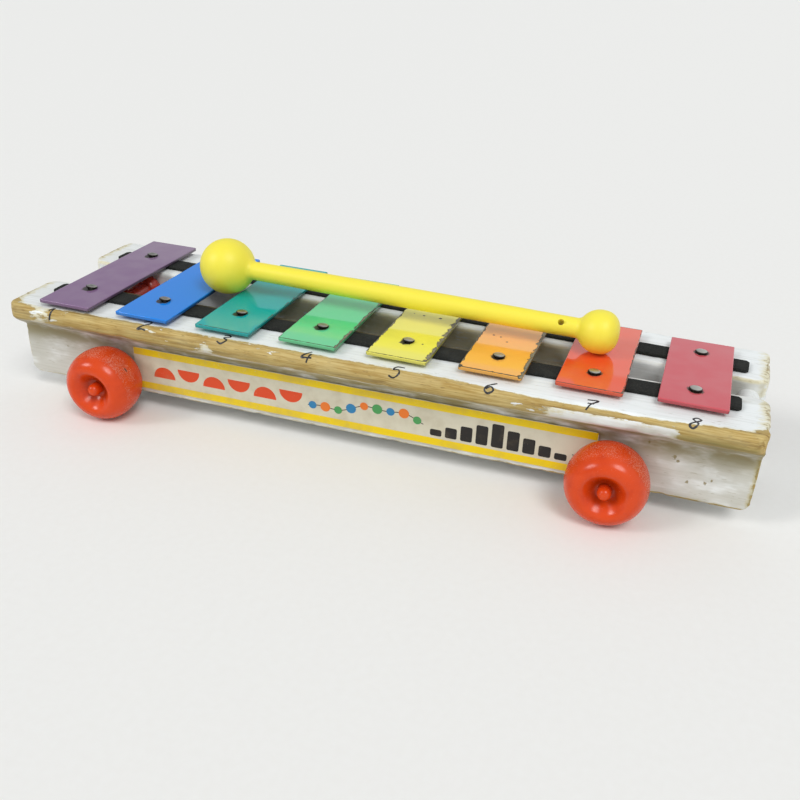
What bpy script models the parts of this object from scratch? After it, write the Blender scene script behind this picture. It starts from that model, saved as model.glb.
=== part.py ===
"""Pull-along toy xylophone: eight metal bars nailed over felt to two splayed wooden rails on wheels.

Lengths are in metres. +X points to the narrow end, +Y away from the labelled side, +Z up.
The origin is on the floor, under the middle of the toy.
"""

import math

import bmesh
import bpy
from mathutils import Matrix, Vector

OBJECT_NAME = "toy_xylophone"
FRONT = -1
BACK = 1

# Clearances
SEAT_GAP = 0.0003
RUNNING_GAP = 0.0004
OVERRUN = 0.002
TRIM_LIFT = 0.00015
MERGE_DISTANCE = 0.00002

# Rails: milled boards with a rounded nose that overhangs a straight skirt
RAIL_LENGTH = 0.432
RAIL_WIDTH = 0.044
RAIL_HEIGHT = 0.0508
RAIL_SPACING = 0.0286
RAIL_SPLAY = math.radians(1.39)
NOSE_THICKNESS = 0.0087
NOSE_OVERHANG = 0.0131
UNDERCUT_DROP = 0.0095
NOSE_TOP_RADIUS = 0.004
NOSE_BOTTOM_RADIUS = 0.0025
COVE_RADIUS = 0.005
SKIRT_FOOT_RADIUS = 0.002
INNER_TOP_RADIUS = 0.0025
INNER_FOOT_RADIUS = 0.0015
OUTER_CORNER_RADIUS = 0.007
INNER_CORNER_RADIUS = 0.008
FOOT_CORNER_RADIUS = 0.006
END_EASE = 0.0008

# Bars: flat steel plates, longest and lowest at the wide end
BAR_COUNT = 8
FIRST_BAR_INSET = 0.0393
LAST_BAR_INSET = 0.0371
BAR_WIDTH = 0.0342
BAR_THICKNESS = 0.0023
LONGEST_BAR = 0.1185
SHORTEST_BAR = 0.0798
BAR_CORNER_RADIUS = 0.0006
BAR_EASE = 0.00035
BAR_HOLE_RADIUS = 0.0024

# Felt strips that the bars lie on
FELT_WIDTH = 0.013
FELT_THICKNESS = 0.0016
FELT_MARGIN_WIDE_END = 0.0145
FELT_MARGIN_NARROW_END = 0.0132
FELT_CORNER_RADIUS = 0.0024

# Dome-headed nails on the middle line of each felt strip
NAIL_LINE = 0.0139
NAIL_HEAD_RADIUS = 0.0034
NAIL_HEAD_RIM = 0.0004
NAIL_DOME_HEIGHT = 0.0013
NAIL_SHANK_RADIUS = 0.0012
NAIL_PENETRATION = 0.019
NAIL_POINT = 0.0025

# Wheels: dished doughnuts with a hub boss on the rail side
WHEEL_RADIUS = 0.0216
WHEEL_FRONT_DEPTH = 0.013
WHEEL_BACK_DEPTH = 0.015
WHEEL_CREST_RADIUS = 0.0132
WHEEL_DISH_FLOOR_RADIUS = 0.0052
WHEEL_DISH_DEPTH = 0.0075
WHEEL_BACK_CREST_RADIUS = 0.0145
WHEEL_BACK_RECESS = 0.0035
WHEEL_BOSS_RADIUS = 0.0068
WHEEL_BOSS_FILLET = 0.0012
WHEEL_STAND_OFF = 0.0013
AXLE_RISE = 0.011
WIDE_AXLE_INSET = 0.0639
NARROW_AXLE_INSET = 0.0717

# Axle pins: domed pegs that hold the wheels to the rails
PIN_RADIUS = 0.0025
PIN_HEAD_RADIUS = 0.0036
PIN_HEAD_LENGTH = 0.0069
PIN_PENETRATION = 0.02
PIN_CHAMFER = 0.0008

# Cross pieces that hold the rails together
DOWEL_RADIUS = 0.0062
DOWEL_SEAT_DEPTH = 0.009
DOWEL_DEPTH = 0.0116
DOWEL_CHAMFER = 0.0008
NARROW_DOWEL_INSET = 0.0097
SPOOL_INSET = 0.046
SPOOL_BARREL_RADIUS = 0.005
SPOOL_COLLAR_RADIUS = 0.0098
SPOOL_COLLAR_WIDTH = 0.0055

# Paper label on the front skirt, from one axle to the other and from the foot to the cove
LABEL_THICKNESS = 0.0003
LABEL_FOOT_MARGIN = 0.0036
LABEL_TOP_MARGIN = 0.002
LABEL_WIDE_AXLE_INSET = 0.012
LABEL_NARROW_AXLE_INSET = 0.0081
LABEL_CORNER_RADIUS = 0.0006

# Mallet: one turned piece, a large ball, a slim handle and a small blunt ball
BALL_RADIUS = 0.0168
END_BALL_RADIUS = 0.012
END_BALL_REACH = 0.0106
BALL_DISTANCE = 0.2256
HANDLE_RADIUS = 0.0055
HANDLE_SWELL = 0.0004
BALL_NECK_FILLET = 0.0045
END_NECK_FILLET = 0.0035
MALLET_OFFSET = 0.0006
MALLET_GAP_INDEX = 2
CROSS_HOLE_RADIUS = 0.0017
CROSS_HOLE_INSET = 0.0205
CROSS_HOLE_TILT = math.radians(40)

# Facets
ARC_STEPS = 5
SMALL_ARC_STEPS = 3
ROUND_STEPS = 24
SMALL_STEPS = 12
NAIL_STEPS = 8
SMOOTH_ANGLE = math.radians(35)

# Places worked out from the sizes above
RAIL_BOTTOM = WHEEL_RADIUS - AXLE_RISE
RAIL_TOP = RAIL_BOTTOM + RAIL_HEIGHT
SKIRT_FACE = RAIL_WIDTH - NOSE_OVERHANG
SKIRT_HEIGHT = RAIL_HEIGHT - NOSE_THICKNESS - UNDERCUT_DROP
BAR_PITCH = (RAIL_LENGTH - FIRST_BAR_INSET - LAST_BAR_INSET) / (BAR_COUNT - 1)
DOWEL_HEIGHT = RAIL_HEIGHT - DOWEL_DEPTH
FELT_TOP = RAIL_TOP + SEAT_GAP + FELT_THICKNESS
BAR_BOTTOM = FELT_TOP + SEAT_GAP
BAR_TOP = BAR_BOTTOM + BAR_THICKNESS
WHEEL_PLANE = SKIRT_FACE + WHEEL_STAND_OFF + WHEEL_BACK_DEPTH
WHEEL_DISH_FLOOR = WHEEL_FRONT_DEPTH - WHEEL_DISH_DEPTH


def clear_scene():
    """Remove whatever the scene holds."""
    for thing in list(bpy.data.objects):
        bpy.data.objects.remove(thing, do_unlink=True)


def new_collection(name):
    """Make a collection in the scene."""
    collection = bpy.data.collections.new(name)
    bpy.context.scene.collection.children.link(collection)
    return collection


def make_material(name, colour, roughness, metallic=0.0):
    """Make a plain Principled material from an RGB colour."""
    material = bpy.data.materials.new(name)
    material.use_nodes = True
    shader = material.node_tree.nodes["Principled BSDF"]
    shader.inputs["Base Color"].default_value = (*colour, 1.0)
    shader.inputs["Roughness"].default_value = roughness
    shader.inputs["Metallic"].default_value = metallic
    return material


def arc_points(centre, radius, start, sweep, steps=ARC_STEPS):
    """Points on an arc, both ends included."""
    angles = [start + sweep * step / steps for step in range(steps + 1)]
    return [(centre[0] + radius * math.cos(angle), centre[1] + radius * math.sin(angle)) for angle in angles]


def rounded_outline(corners, steps=ARC_STEPS):
    """Turn corners (a, b, radius) into points, with an arc at each corner that has a radius."""
    points = []
    for index, (a, b, radius) in enumerate(corners):
        corner = Vector((a, b))
        if radius == 0:
            points.append((a, b))
            continue
        before = (Vector(corners[index - 1][:2]) - corner).normalized()
        after = (Vector(corners[(index + 1) % len(corners)][:2]) - corner).normalized()
        half_angle = before.angle(after) / 2
        centre = corner + (before + after).normalized() * (radius / math.sin(half_angle))
        reach = radius / math.tan(half_angle)
        start = corner + before * reach - centre
        end = corner + after * reach - centre
        start_angle = math.atan2(start.y, start.x)
        sweep = math.remainder(math.atan2(end.y, end.x) - start_angle, math.tau)
        points += arc_points(centre, radius, start_angle, sweep, steps)
    return points


def circle_points(a, b, radius, steps=SMALL_STEPS):
    """Points round a full circle."""
    return arc_points((a, b), radius, 0, math.tau, steps)[:-1]


def finish_mesh(mesh):
    """Weld a mesh, face it outward and shade its round stretches smooth."""
    work = bmesh.new()
    work.from_mesh(mesh)
    bmesh.ops.remove_doubles(work, verts=work.verts, dist=MERGE_DISTANCE)
    bmesh.ops.recalc_face_normals(work, faces=work.faces)
    work.to_mesh(mesh)
    work.free()
    mesh.shade_smooth()
    mesh.set_sharp_from_angle(angle=SMOOTH_ANGLE)


def extruded(name, loops, thickness):
    """Extrude a flat outline, whose further loops are holes, evenly about its own plane."""
    curve = bpy.data.curves.new(name + "_outline", "CURVE")
    curve.dimensions = "2D"
    curve.fill_mode = "BOTH"
    curve.extrude = thickness / 2
    for loop in loops:
        spline = curve.splines.new("POLY")
        spline.points.add(len(loop) - 1)
        spline.use_cyclic_u = True
        for point, (a, b) in zip(spline.points, loop):
            point.co = (a, b, 0, 1)
    outline = bpy.data.objects.new(name + "_outline", curve)
    bpy.context.scene.collection.objects.link(outline)
    evaluated = outline.evaluated_get(bpy.context.evaluated_depsgraph_get())
    mesh = bpy.data.meshes.new_from_object(evaluated)
    mesh.name = name
    piece = bpy.data.objects.new(name, mesh)
    piece.matrix_world = outline.matrix_world.copy()
    bpy.data.objects.remove(outline, do_unlink=True)
    finish_mesh(mesh)
    return piece


def turned(name, profile, steps, closed=False):
    """Turn a profile of (radius, height) about Z; it runs down the outer side, top to bottom."""
    mesh = bpy.data.meshes.new(name)
    work = bmesh.new()
    vertices = [work.verts.new((radius, 0, height)) for radius, height in profile]
    for first, second in zip(vertices, vertices[1:]):
        work.edges.new((first, second))
    if closed:
        work.edges.new((vertices[-1], vertices[0]))
    work.to_mesh(mesh)
    work.free()
    piece = bpy.data.objects.new(name, mesh)
    screw = piece.modifiers.new("turning", "SCREW")
    screw.axis = "Z"
    screw.angle = math.tau
    screw.steps = steps
    screw.render_steps = steps
    screw.use_merge_vertices = True
    screw.merge_threshold = MERGE_DISTANCE
    screw.use_smooth_shade = True
    return piece


def apply_modifiers(piece):
    """Replace a piece's mesh by what its modifiers make of it."""
    bpy.context.scene.collection.objects.link(piece)
    evaluated = piece.evaluated_get(bpy.context.evaluated_depsgraph_get())
    mesh = bpy.data.meshes.new_from_object(evaluated)
    bpy.context.scene.collection.objects.unlink(piece)
    mesh.name = piece.name
    piece.modifiers.clear()
    piece.data = mesh
    finish_mesh(mesh)
    return piece


def ease_edges(piece, width):
    """Break the sharp edges of a piece a little."""
    bevel = piece.modifiers.new("eased_edges", "BEVEL")
    bevel.width = width
    bevel.segments = 1
    bevel.limit_method = "ANGLE"
    bevel.angle_limit = SMOOTH_ANGLE


def combine(piece, cutter, operation):
    """Cut a piece with a cutter, or keep only what lies inside it."""
    boolean = piece.modifiers.new(cutter.name, "BOOLEAN")
    boolean.operation = operation
    boolean.object = cutter


def add_part(piece, material, parent=None):
    """Put a piece in the toy's collection, with its material."""
    piece.data.materials.clear()
    piece.data.materials.append(material)
    bpy.data.collections[OBJECT_NAME].objects.link(piece)
    piece.parent = parent
    return piece


def add_cutter(piece, parent=None):
    """Put a piece among the cutters, which are shown as wires and not built."""
    piece.hide_render = True
    piece.display_type = "WIRE"
    bpy.data.collections["cutters"].objects.link(piece)
    piece.parent = parent
    return piece


def cylinder_mesh(name, radius, length, steps=SMALL_STEPS):
    """A closed cylinder along Z about its middle."""
    mesh = bpy.data.meshes.new(name)
    work = bmesh.new()
    bmesh.ops.create_cone(
        work, cap_ends=True, segments=steps, radius1=radius, radius2=radius, depth=length)
    work.to_mesh(mesh)
    work.free()
    return mesh


def joined_cutter(name, bodies, parent=None):
    """One cutter made of several separate bodies, each a mesh and its place."""
    work = bmesh.new()
    for mesh, place in bodies:
        mesh.transform(place)
        work.from_mesh(mesh)
        bpy.data.meshes.remove(mesh)
    mesh = bpy.data.meshes.new(name)
    work.to_mesh(mesh)
    work.free()
    return add_cutter(bpy.data.objects.new(name, mesh), parent)


# Turns a cylinder made along Z to lie along Y
ALONG_Y = Matrix.Rotation(math.radians(-90), 4, "X")


def add_side_frame(side):
    """The empty that carries one rail and all that is fixed to it, on the rail's inner foot line."""
    frame = bpy.data.objects.new("front_side" if side == FRONT else "back_side", None)
    frame.location = (0, side * RAIL_SPACING / 2, RAIL_BOTTOM)
    frame.rotation_euler = (0, 0, -side * RAIL_SPLAY)
    bpy.data.collections[OBJECT_NAME].objects.link(frame)
    return frame


def rail_station(x, outward=0):
    """The place along a rail's own frame of a point at a world X, at a distance out from the inner edge."""
    return (x - outward * math.sin(RAIL_SPLAY)) / math.cos(RAIL_SPLAY)


def bar_centre(index):
    """World X of a bar's middle, counted from the wide end."""
    return FIRST_BAR_INSET - RAIL_LENGTH / 2 + index * BAR_PITCH


def nail_offset(index):
    """Distance of a bar's nails from the toy's middle plane."""
    station = rail_station(bar_centre(index), NAIL_LINE)
    return RAIL_SPACING / 2 + NAIL_LINE * math.cos(RAIL_SPLAY) - station * math.sin(RAIL_SPLAY)


def rail_section(side):
    """Cross-section of a rail: nose, sloping undercut with a small cove, straight skirt."""
    undercut = RAIL_HEIGHT - NOSE_THICKNESS
    corners = [
        (0, 0, INNER_FOOT_RADIUS),
        (SKIRT_FACE, 0, SKIRT_FOOT_RADIUS),
        (SKIRT_FACE, SKIRT_HEIGHT, COVE_RADIUS),
        (RAIL_WIDTH, undercut, NOSE_BOTTOM_RADIUS),
        (RAIL_WIDTH, RAIL_HEIGHT, NOSE_TOP_RADIUS),
        (0, RAIL_HEIGHT, INNER_TOP_RADIUS),
    ]
    return [(side * out, height) for out, height in rounded_outline(corners)]


def plan_trim(side):
    """Block that trims a rail square to the toy's length, with rounded corners in plan."""
    inner = -TRIM_LIFT
    outer = RAIL_WIDTH + TRIM_LIFT
    narrow = RAIL_LENGTH / 2
    corners = [
        (rail_station(-narrow, inner), inner, INNER_CORNER_RADIUS),
        (rail_station(narrow, inner), inner, INNER_CORNER_RADIUS),
        (rail_station(narrow, outer), outer, OUTER_CORNER_RADIUS),
        (rail_station(-narrow, outer), outer, OUTER_CORNER_RADIUS),
    ]
    outline = [(x, side * out) for x, out in rounded_outline(corners)]
    trim = extruded("plan_trim", [outline], RAIL_HEIGHT + 2 * OVERRUN)
    trim.location.z = RAIL_HEIGHT / 2
    return trim


def foot_trim():
    """Block that rounds the lower corners of both ends, seen from the side."""
    half_length = RAIL_LENGTH / 2 + TRIM_LIFT
    top = RAIL_HEIGHT + OVERRUN
    corners = [
        (-half_length, -TRIM_LIFT, FOOT_CORNER_RADIUS),
        (half_length, -TRIM_LIFT, FOOT_CORNER_RADIUS),
        (half_length, top, 0),
        (-half_length, top, 0),
    ]
    reach = RAIL_SPACING + RAIL_WIDTH + RAIL_LENGTH * math.sin(RAIL_SPLAY) + OVERRUN
    trim = extruded("foot_trim", [rounded_outline(corners)], 2 * reach)
    trim.location.z = RAIL_BOTTOM
    trim.rotation_euler = (math.radians(90), 0, 0)
    return trim


def nail_holes(side):
    """Pilot holes for the nails, from the rail's top down."""
    depth = NAIL_PENETRATION + SEAT_GAP + OVERRUN
    bodies = []
    for index in range(BAR_COUNT):
        hole = cylinder_mesh("pilot", NAIL_SHANK_RADIUS + SEAT_GAP, depth, NAIL_STEPS)
        x = rail_station(bar_centre(index), NAIL_LINE)
        middle = RAIL_HEIGHT + OVERRUN - depth / 2
        bodies.append((hole, Matrix.Translation((x, side * NAIL_LINE, middle))))
    return bodies


def axle_stations():
    """Places of the two axles along a rail's frame, wide end first."""
    return {"wide": -RAIL_LENGTH / 2 + WIDE_AXLE_INSET, "narrow": RAIL_LENGTH / 2 - NARROW_AXLE_INSET}


def axle_holes(side):
    """Blind holes for the axle pins, from the skirt inward."""
    depth = PIN_PENETRATION + SEAT_GAP + OVERRUN
    bodies = []
    for x in axle_stations().values():
        hole = cylinder_mesh("axle_hole", PIN_RADIUS + SEAT_GAP, depth)
        middle = SKIRT_FACE + OVERRUN - depth / 2
        bodies.append((hole, Matrix.Translation((x, side * middle, AXLE_RISE)) @ ALONG_Y))
    return bodies


def cross_piece_places():
    """World X of the spool at the wide end and of the dowel at the narrow end."""
    return {"spool": -RAIL_LENGTH / 2 + SPOOL_INSET, "dowel": RAIL_LENGTH / 2 - NARROW_DOWEL_INSET}


def inner_edge(x):
    """Distance of a rail's inner face from the toy's middle plane at a world X."""
    return RAIL_SPACING / 2 - rail_station(x) * math.sin(RAIL_SPLAY)


def dowel_holes():
    """Seats for both cross pieces, as bars right across the gap between the rails."""
    bodies = []
    for x in cross_piece_places().values():
        length = 2 * (inner_edge(x) + DOWEL_SEAT_DEPTH)
        hole = cylinder_mesh("dowel_seat", DOWEL_RADIUS + SEAT_GAP, length, ROUND_STEPS)
        bodies.append((hole, Matrix.Translation((x, 0, RAIL_BOTTOM + DOWEL_HEIGHT)) @ ALONG_Y))
    return bodies


def build_rail(name, side, frame, material, shared_cutters):
    """One milled rail, trimmed at its ends and drilled."""
    rail = extruded(name, [rail_section(side)], RAIL_LENGTH + 2 * OVERRUN)
    rail.data.transform(Matrix.Rotation(math.tau / 3, 4, Vector((1, 1, 1))))
    add_part(rail, material, frame)
    combine(rail, add_cutter(plan_trim(side), frame), "INTERSECT")
    combine(rail, shared_cutters["foot_trim"], "INTERSECT")
    ease_edges(rail, END_EASE)
    drill = joined_cutter(name + "_drill", nail_holes(side) + axle_holes(side), frame)
    combine(rail, drill, "DIFFERENCE")
    combine(rail, shared_cutters["dowel_seats"], "DIFFERENCE")


def build_felt(name, side, frame, material):
    """A felt strip on a rail, with a hole for each nail."""
    start = -RAIL_LENGTH / 2 + FELT_MARGIN_WIDE_END
    end = RAIL_LENGTH / 2 - FELT_MARGIN_NARROW_END
    inner = NAIL_LINE - FELT_WIDTH / 2
    outer = NAIL_LINE + FELT_WIDTH / 2
    corners = [
        (start, inner, FELT_CORNER_RADIUS),
        (end, inner, FELT_CORNER_RADIUS),
        (end, outer, FELT_CORNER_RADIUS),
        (start, outer, FELT_CORNER_RADIUS),
    ]
    loops = [[(x, side * out) for x, out in rounded_outline(corners)]]
    for index in range(BAR_COUNT):
        x = rail_station(bar_centre(index), NAIL_LINE)
        loops.append(circle_points(x, side * NAIL_LINE, NAIL_SHANK_RADIUS + SEAT_GAP, NAIL_STEPS))
    felt = extruded(name, loops, FELT_THICKNESS)
    felt.location.z = RAIL_HEIGHT + SEAT_GAP + FELT_THICKNESS / 2
    add_part(felt, material, frame)


def nail_profile():
    """Profile of a dome-headed nail in its rail's frame, where the rail's foot is at height zero."""
    head_base = BAR_TOP - RAIL_BOTTOM + SEAT_GAP
    shoulder = head_base + NAIL_HEAD_RIM
    tip = RAIL_HEIGHT - NAIL_PENETRATION
    dome_steps = 3
    dome = [
        (NAIL_HEAD_RADIUS * math.sin(angle), shoulder + NAIL_DOME_HEIGHT * math.cos(angle))
        for angle in (math.pi / 2 * step / dome_steps for step in range(dome_steps + 1))
    ]
    return dome + [
        (NAIL_HEAD_RADIUS, head_base),
        (NAIL_SHANK_RADIUS, head_base),
        (NAIL_SHANK_RADIUS, tip + NAIL_POINT),
        (0, tip),
    ]


def build_nails(name, side, frame, material):
    """The eight nails of one rail, one through each bar."""
    for index in range(BAR_COUNT):
        nail = turned(f"{name}_{index + 1}", nail_profile(), NAIL_STEPS)
        nail.location = (rail_station(bar_centre(index), NAIL_LINE), side * NAIL_LINE, 0)
        add_part(nail, material, frame)


def bar_length(index):
    """Length of a bar: the row tapers evenly from the wide end to the narrow end."""
    return LONGEST_BAR + (SHORTEST_BAR - LONGEST_BAR) * index / (BAR_COUNT - 1)


def build_bar(index, material):
    """One tuned bar, with an easy-fit hole for each of its two nails."""
    half_width = BAR_WIDTH / 2
    half_length = bar_length(index) / 2
    corners = [
        (a * half_width, b * half_length, BAR_CORNER_RADIUS)
        for a, b in ((-1, -1), (1, -1), (1, 1), (-1, 1))
    ]
    loops = [rounded_outline(corners, SMALL_ARC_STEPS)]
    for side in (FRONT, BACK):
        loops.append(circle_points(0, side * nail_offset(index), BAR_HOLE_RADIUS))
    bar = extruded(f"bar_{index + 1}", loops, BAR_THICKNESS)
    bar.location = (bar_centre(index), 0, BAR_BOTTOM + BAR_THICKNESS / 2)
    ease_edges(bar, BAR_EASE)
    add_part(bar, material)


def wheel_face_profile():
    """Outer half of the wheel from the dish floor over the crest to the tread."""
    points = []
    dish_steps = 5
    for step in range(dish_steps):
        share = step / dish_steps
        radius = WHEEL_DISH_FLOOR_RADIUS + (WHEEL_CREST_RADIUS - WHEEL_DISH_FLOOR_RADIUS) * share
        rise = (1 - math.cos(math.pi * share)) / 2
        points.append((radius, WHEEL_DISH_FLOOR + WHEEL_DISH_DEPTH * rise))
    shoulder_steps = 6
    for step in range(shoulder_steps + 1):
        angle = math.pi / 2 * step / shoulder_steps
        radius = WHEEL_CREST_RADIUS + (WHEEL_RADIUS - WHEEL_CREST_RADIUS) * math.sin(angle)
        points.append((radius, WHEEL_FRONT_DEPTH * math.cos(angle)))
    return points


def wheel_back_profile():
    """Inner half of the wheel from the tread round to the recess and the hub boss."""
    points = []
    shoulder_steps = 4
    for step in range(1, shoulder_steps + 1):
        angle = math.pi / 2 * step / shoulder_steps
        radius = WHEEL_BACK_CREST_RADIUS + (WHEEL_RADIUS - WHEEL_BACK_CREST_RADIUS) * math.cos(angle)
        points.append((radius, -WHEEL_BACK_DEPTH * math.sin(angle)))
    recess = WHEEL_BACK_RECESS - WHEEL_BACK_DEPTH
    boss_face = RUNNING_GAP - WHEEL_BACK_DEPTH - WHEEL_STAND_OFF
    points.append((WHEEL_BACK_CREST_RADIUS - WHEEL_BACK_RECESS, recess))
    points.append((WHEEL_BOSS_RADIUS + WHEEL_BOSS_FILLET, recess))
    points.append((WHEEL_BOSS_RADIUS, recess - WHEEL_BOSS_FILLET))
    points.append((WHEEL_BOSS_RADIUS, boss_face))
    return points + [(PIN_RADIUS + RUNNING_GAP, boss_face)]


def build_wheel(name, side, x, frame, material):
    """A wheel whose origin lies on its axle, in the plane of its widest ring."""
    bore_mouth = (PIN_RADIUS + RUNNING_GAP, WHEEL_DISH_FLOOR)
    profile = [bore_mouth] + wheel_face_profile() + wheel_back_profile()
    wheel = turned(name, profile, ROUND_STEPS, closed=True)
    wheel.location = (x, side * WHEEL_PLANE, AXLE_RISE)
    wheel.rotation_euler = (math.radians(-90) * side, 0, 0)
    add_part(wheel, material, frame)


def build_axle_pin(name, side, x, frame, material):
    """A domed peg through the wheel's hub into the rail."""
    head_base = WHEEL_DISH_FLOOR + RUNNING_GAP
    dome_base = head_base + PIN_HEAD_LENGTH - PIN_HEAD_RADIUS
    tip = SKIRT_FACE - WHEEL_PLANE - PIN_PENETRATION
    dome = arc_points((0, dome_base), PIN_HEAD_RADIUS, math.pi / 2, -math.pi / 2)
    profile = [(0, dome[0][1])] + dome[1:] + [
        (PIN_HEAD_RADIUS, head_base),
        (PIN_RADIUS, head_base),
        (PIN_RADIUS, tip + PIN_CHAMFER),
        (PIN_RADIUS - PIN_CHAMFER, tip),
        (0, tip),
    ]
    pin = turned(name, profile, SMALL_STEPS)
    pin.location = (x, side * WHEEL_PLANE, AXLE_RISE)
    pin.rotation_euler = (math.radians(-90) * side, 0, 0)
    add_part(pin, material, frame)


def build_dowel(material):
    """Plain dowel that joins the rails at the narrow end."""
    x = cross_piece_places()["dowel"]
    half_length = inner_edge(x) + DOWEL_SEAT_DEPTH - SEAT_GAP
    profile = [
        (0, half_length),
        (DOWEL_RADIUS - DOWEL_CHAMFER, half_length),
        (DOWEL_RADIUS, half_length - DOWEL_CHAMFER),
        (DOWEL_RADIUS, -half_length + DOWEL_CHAMFER),
        (DOWEL_RADIUS - DOWEL_CHAMFER, -half_length),
        (0, -half_length),
    ]
    dowel = turned("narrow_end_dowel", profile, ROUND_STEPS)
    dowel.location = (x, 0, RAIL_BOTTOM + DOWEL_HEIGHT)
    dowel.rotation_euler = (math.radians(90), 0, 0)
    add_part(dowel, material)


def build_spool(material):
    """Turned spool that joins the rails near the wide end, with a rounded collar at each rail."""
    x = cross_piece_places()["spool"]
    seat_end = inner_edge(x) + DOWEL_SEAT_DEPTH - SEAT_GAP
    collar_slack = DOWEL_RADIUS * math.sin(RAIL_SPLAY)
    collar_face = inner_edge(x) - SEAT_GAP - SPOOL_COLLAR_RADIUS * math.sin(RAIL_SPLAY) - collar_slack
    collar_middle = collar_face - SPOOL_COLLAR_WIDTH / 2
    bulge = SPOOL_COLLAR_RADIUS - SPOOL_BARREL_RADIUS
    collar_steps = 4
    half = [
        (0, seat_end),
        (DOWEL_RADIUS - DOWEL_CHAMFER, seat_end),
        (DOWEL_RADIUS, seat_end - DOWEL_CHAMFER),
        (DOWEL_RADIUS, collar_face),
    ]
    for step in range(collar_steps + 1):
        angle = math.pi * step / collar_steps
        radius = SPOOL_BARREL_RADIUS + bulge * math.sin(angle)
        half.append((radius, collar_middle + SPOOL_COLLAR_WIDTH / 2 * math.cos(angle)))
    profile = half + [(radius, -height) for radius, height in reversed(half)]
    spool = turned("wide_end_spool", profile, ROUND_STEPS)
    spool.location = (x, 0, RAIL_BOTTOM + DOWEL_HEIGHT)
    spool.rotation_euler = (math.radians(90), 0, 0)
    add_part(spool, material)


def build_label(frame, material):
    """Paper label on the front skirt, its ends tucked behind the wheels."""
    stations = axle_stations()
    left = stations["wide"] + LABEL_WIDE_AXLE_INSET
    right = stations["narrow"] - LABEL_NARROW_AXLE_INSET
    foot = LABEL_FOOT_MARGIN
    top = SKIRT_HEIGHT - LABEL_TOP_MARGIN
    corners = [(left, foot), (right, foot), (right, top), (left, top)]
    loops = [rounded_outline([(*corner, LABEL_CORNER_RADIUS) for corner in corners], SMALL_ARC_STEPS)]
    label = extruded("front_label", loops, LABEL_THICKNESS)
    label.location.y = FRONT * (SKIRT_FACE + SEAT_GAP + LABEL_THICKNESS / 2)
    label.rotation_euler = (math.radians(90), 0, 0)
    add_part(label, material, frame)


def fillet_to_handle(radius, fillet):
    """Angle on a ball, and its distance from the ball, where a fillet leads to the handle."""
    axial = math.sqrt((radius + fillet) ** 2 - (HANDLE_RADIUS + fillet) ** 2)
    return math.atan2(HANDLE_RADIUS + fillet, axial), axial


def ball_with_neck(radius, fillet):
    """Ball profile from its pole to the end of the neck fillet, as (radius, distance from the centre)."""
    leave, axial = fillet_to_handle(radius, fillet)
    ball_steps = 11
    sweep = math.pi - leave
    ball = [
        (radius * math.sin(sweep * step / ball_steps), -radius * math.cos(sweep * step / ball_steps))
        for step in range(ball_steps + 1)
    ]
    neck = arc_points((HANDLE_RADIUS + fillet, axial), fillet, math.pi + math.pi / 2 - leave,
                      leave - math.pi / 2, 3)
    return ball + neck[1:]


def blunt_end_profile():
    """Blunt outer half of the small ball, from its widest ring to the axis."""
    points = []
    steps = 6
    squareness = 2.4
    for step in range(1, steps + 1):
        angle = math.pi / 2 * step / steps
        radius = END_BALL_RADIUS * max(math.cos(angle), 0) ** (2 / squareness)
        points.append((radius, -END_BALL_REACH * math.sin(angle) ** (2 / squareness)))
    points[-1] = (0, points[-1][1])
    return points


def handle_profile(start, end):
    """Slightly swelled handle between two distances from the large ball's centre."""
    steps = 6
    points = []
    for step in range(1, steps):
        share = step / steps
        points.append((HANDLE_RADIUS + HANDLE_SWELL * math.sin(math.pi * share), start + (end - start) * share))
    return points


def mallet_profile():
    """Whole mallet, top to bottom, with the large ball's centre at height zero."""
    head = [(radius, -along) for radius, along in ball_with_neck(BALL_RADIUS, BALL_NECK_FILLET)]
    neck = [(radius, -BALL_DISTANCE + along)
            for radius, along in reversed(ball_with_neck(END_BALL_RADIUS, END_NECK_FILLET))]
    widest = [point for point in neck if point[1] >= -BALL_DISTANCE]
    tail = [(END_BALL_RADIUS, -BALL_DISTANCE)]
    tail += [(radius, -BALL_DISTANCE + along) for radius, along in blunt_end_profile()]
    return head + handle_profile(head[-1][1], widest[0][1]) + widest + tail


def mallet_place():
    """Matrix that lays the mallet on the bars, its large ball in the gap between two of them."""
    gap_middle = (bar_centre(MALLET_GAP_INDEX - 1) + bar_centre(MALLET_GAP_INDEX)) / 2
    half_gap = (BAR_PITCH - BAR_WIDTH) / 2
    rise = math.sqrt((BALL_RADIUS + SEAT_GAP) ** 2 - half_gap ** 2)
    head = Vector((gap_middle, MALLET_OFFSET, BAR_TOP + rise))
    fall = rise - END_BALL_RADIUS - SEAT_GAP
    along = math.sqrt(BALL_DISTANCE ** 2 - fall ** 2)
    tail = head + Vector((along, 0, -fall))
    return Matrix.Translation(head) @ (head - tail).to_track_quat("Z", "Y").to_matrix().to_4x4()


def build_mallet(material):
    """The turned mallet, drilled across near its small end."""
    mallet = apply_modifiers(turned("mallet", [(max(r, 0), z) for r, z in mallet_profile()], ROUND_STEPS))
    mallet.matrix_world = mallet_place()
    add_part(mallet, material)
    hole = bpy.data.objects.new(
        "cross_hole", cylinder_mesh("cross_hole", CROSS_HOLE_RADIUS, 2 * (HANDLE_RADIUS + OVERRUN), NAIL_STEPS))
    along = mallet.matrix_world @ Vector((0, 0, -BALL_DISTANCE + CROSS_HOLE_INSET))
    hole.matrix_world = Matrix.Translation(along) @ Matrix.Rotation(CROSS_HOLE_TILT, 4, "X").inverted() @ ALONG_Y
    combine(mallet, add_cutter(hole), "DIFFERENCE")


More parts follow.
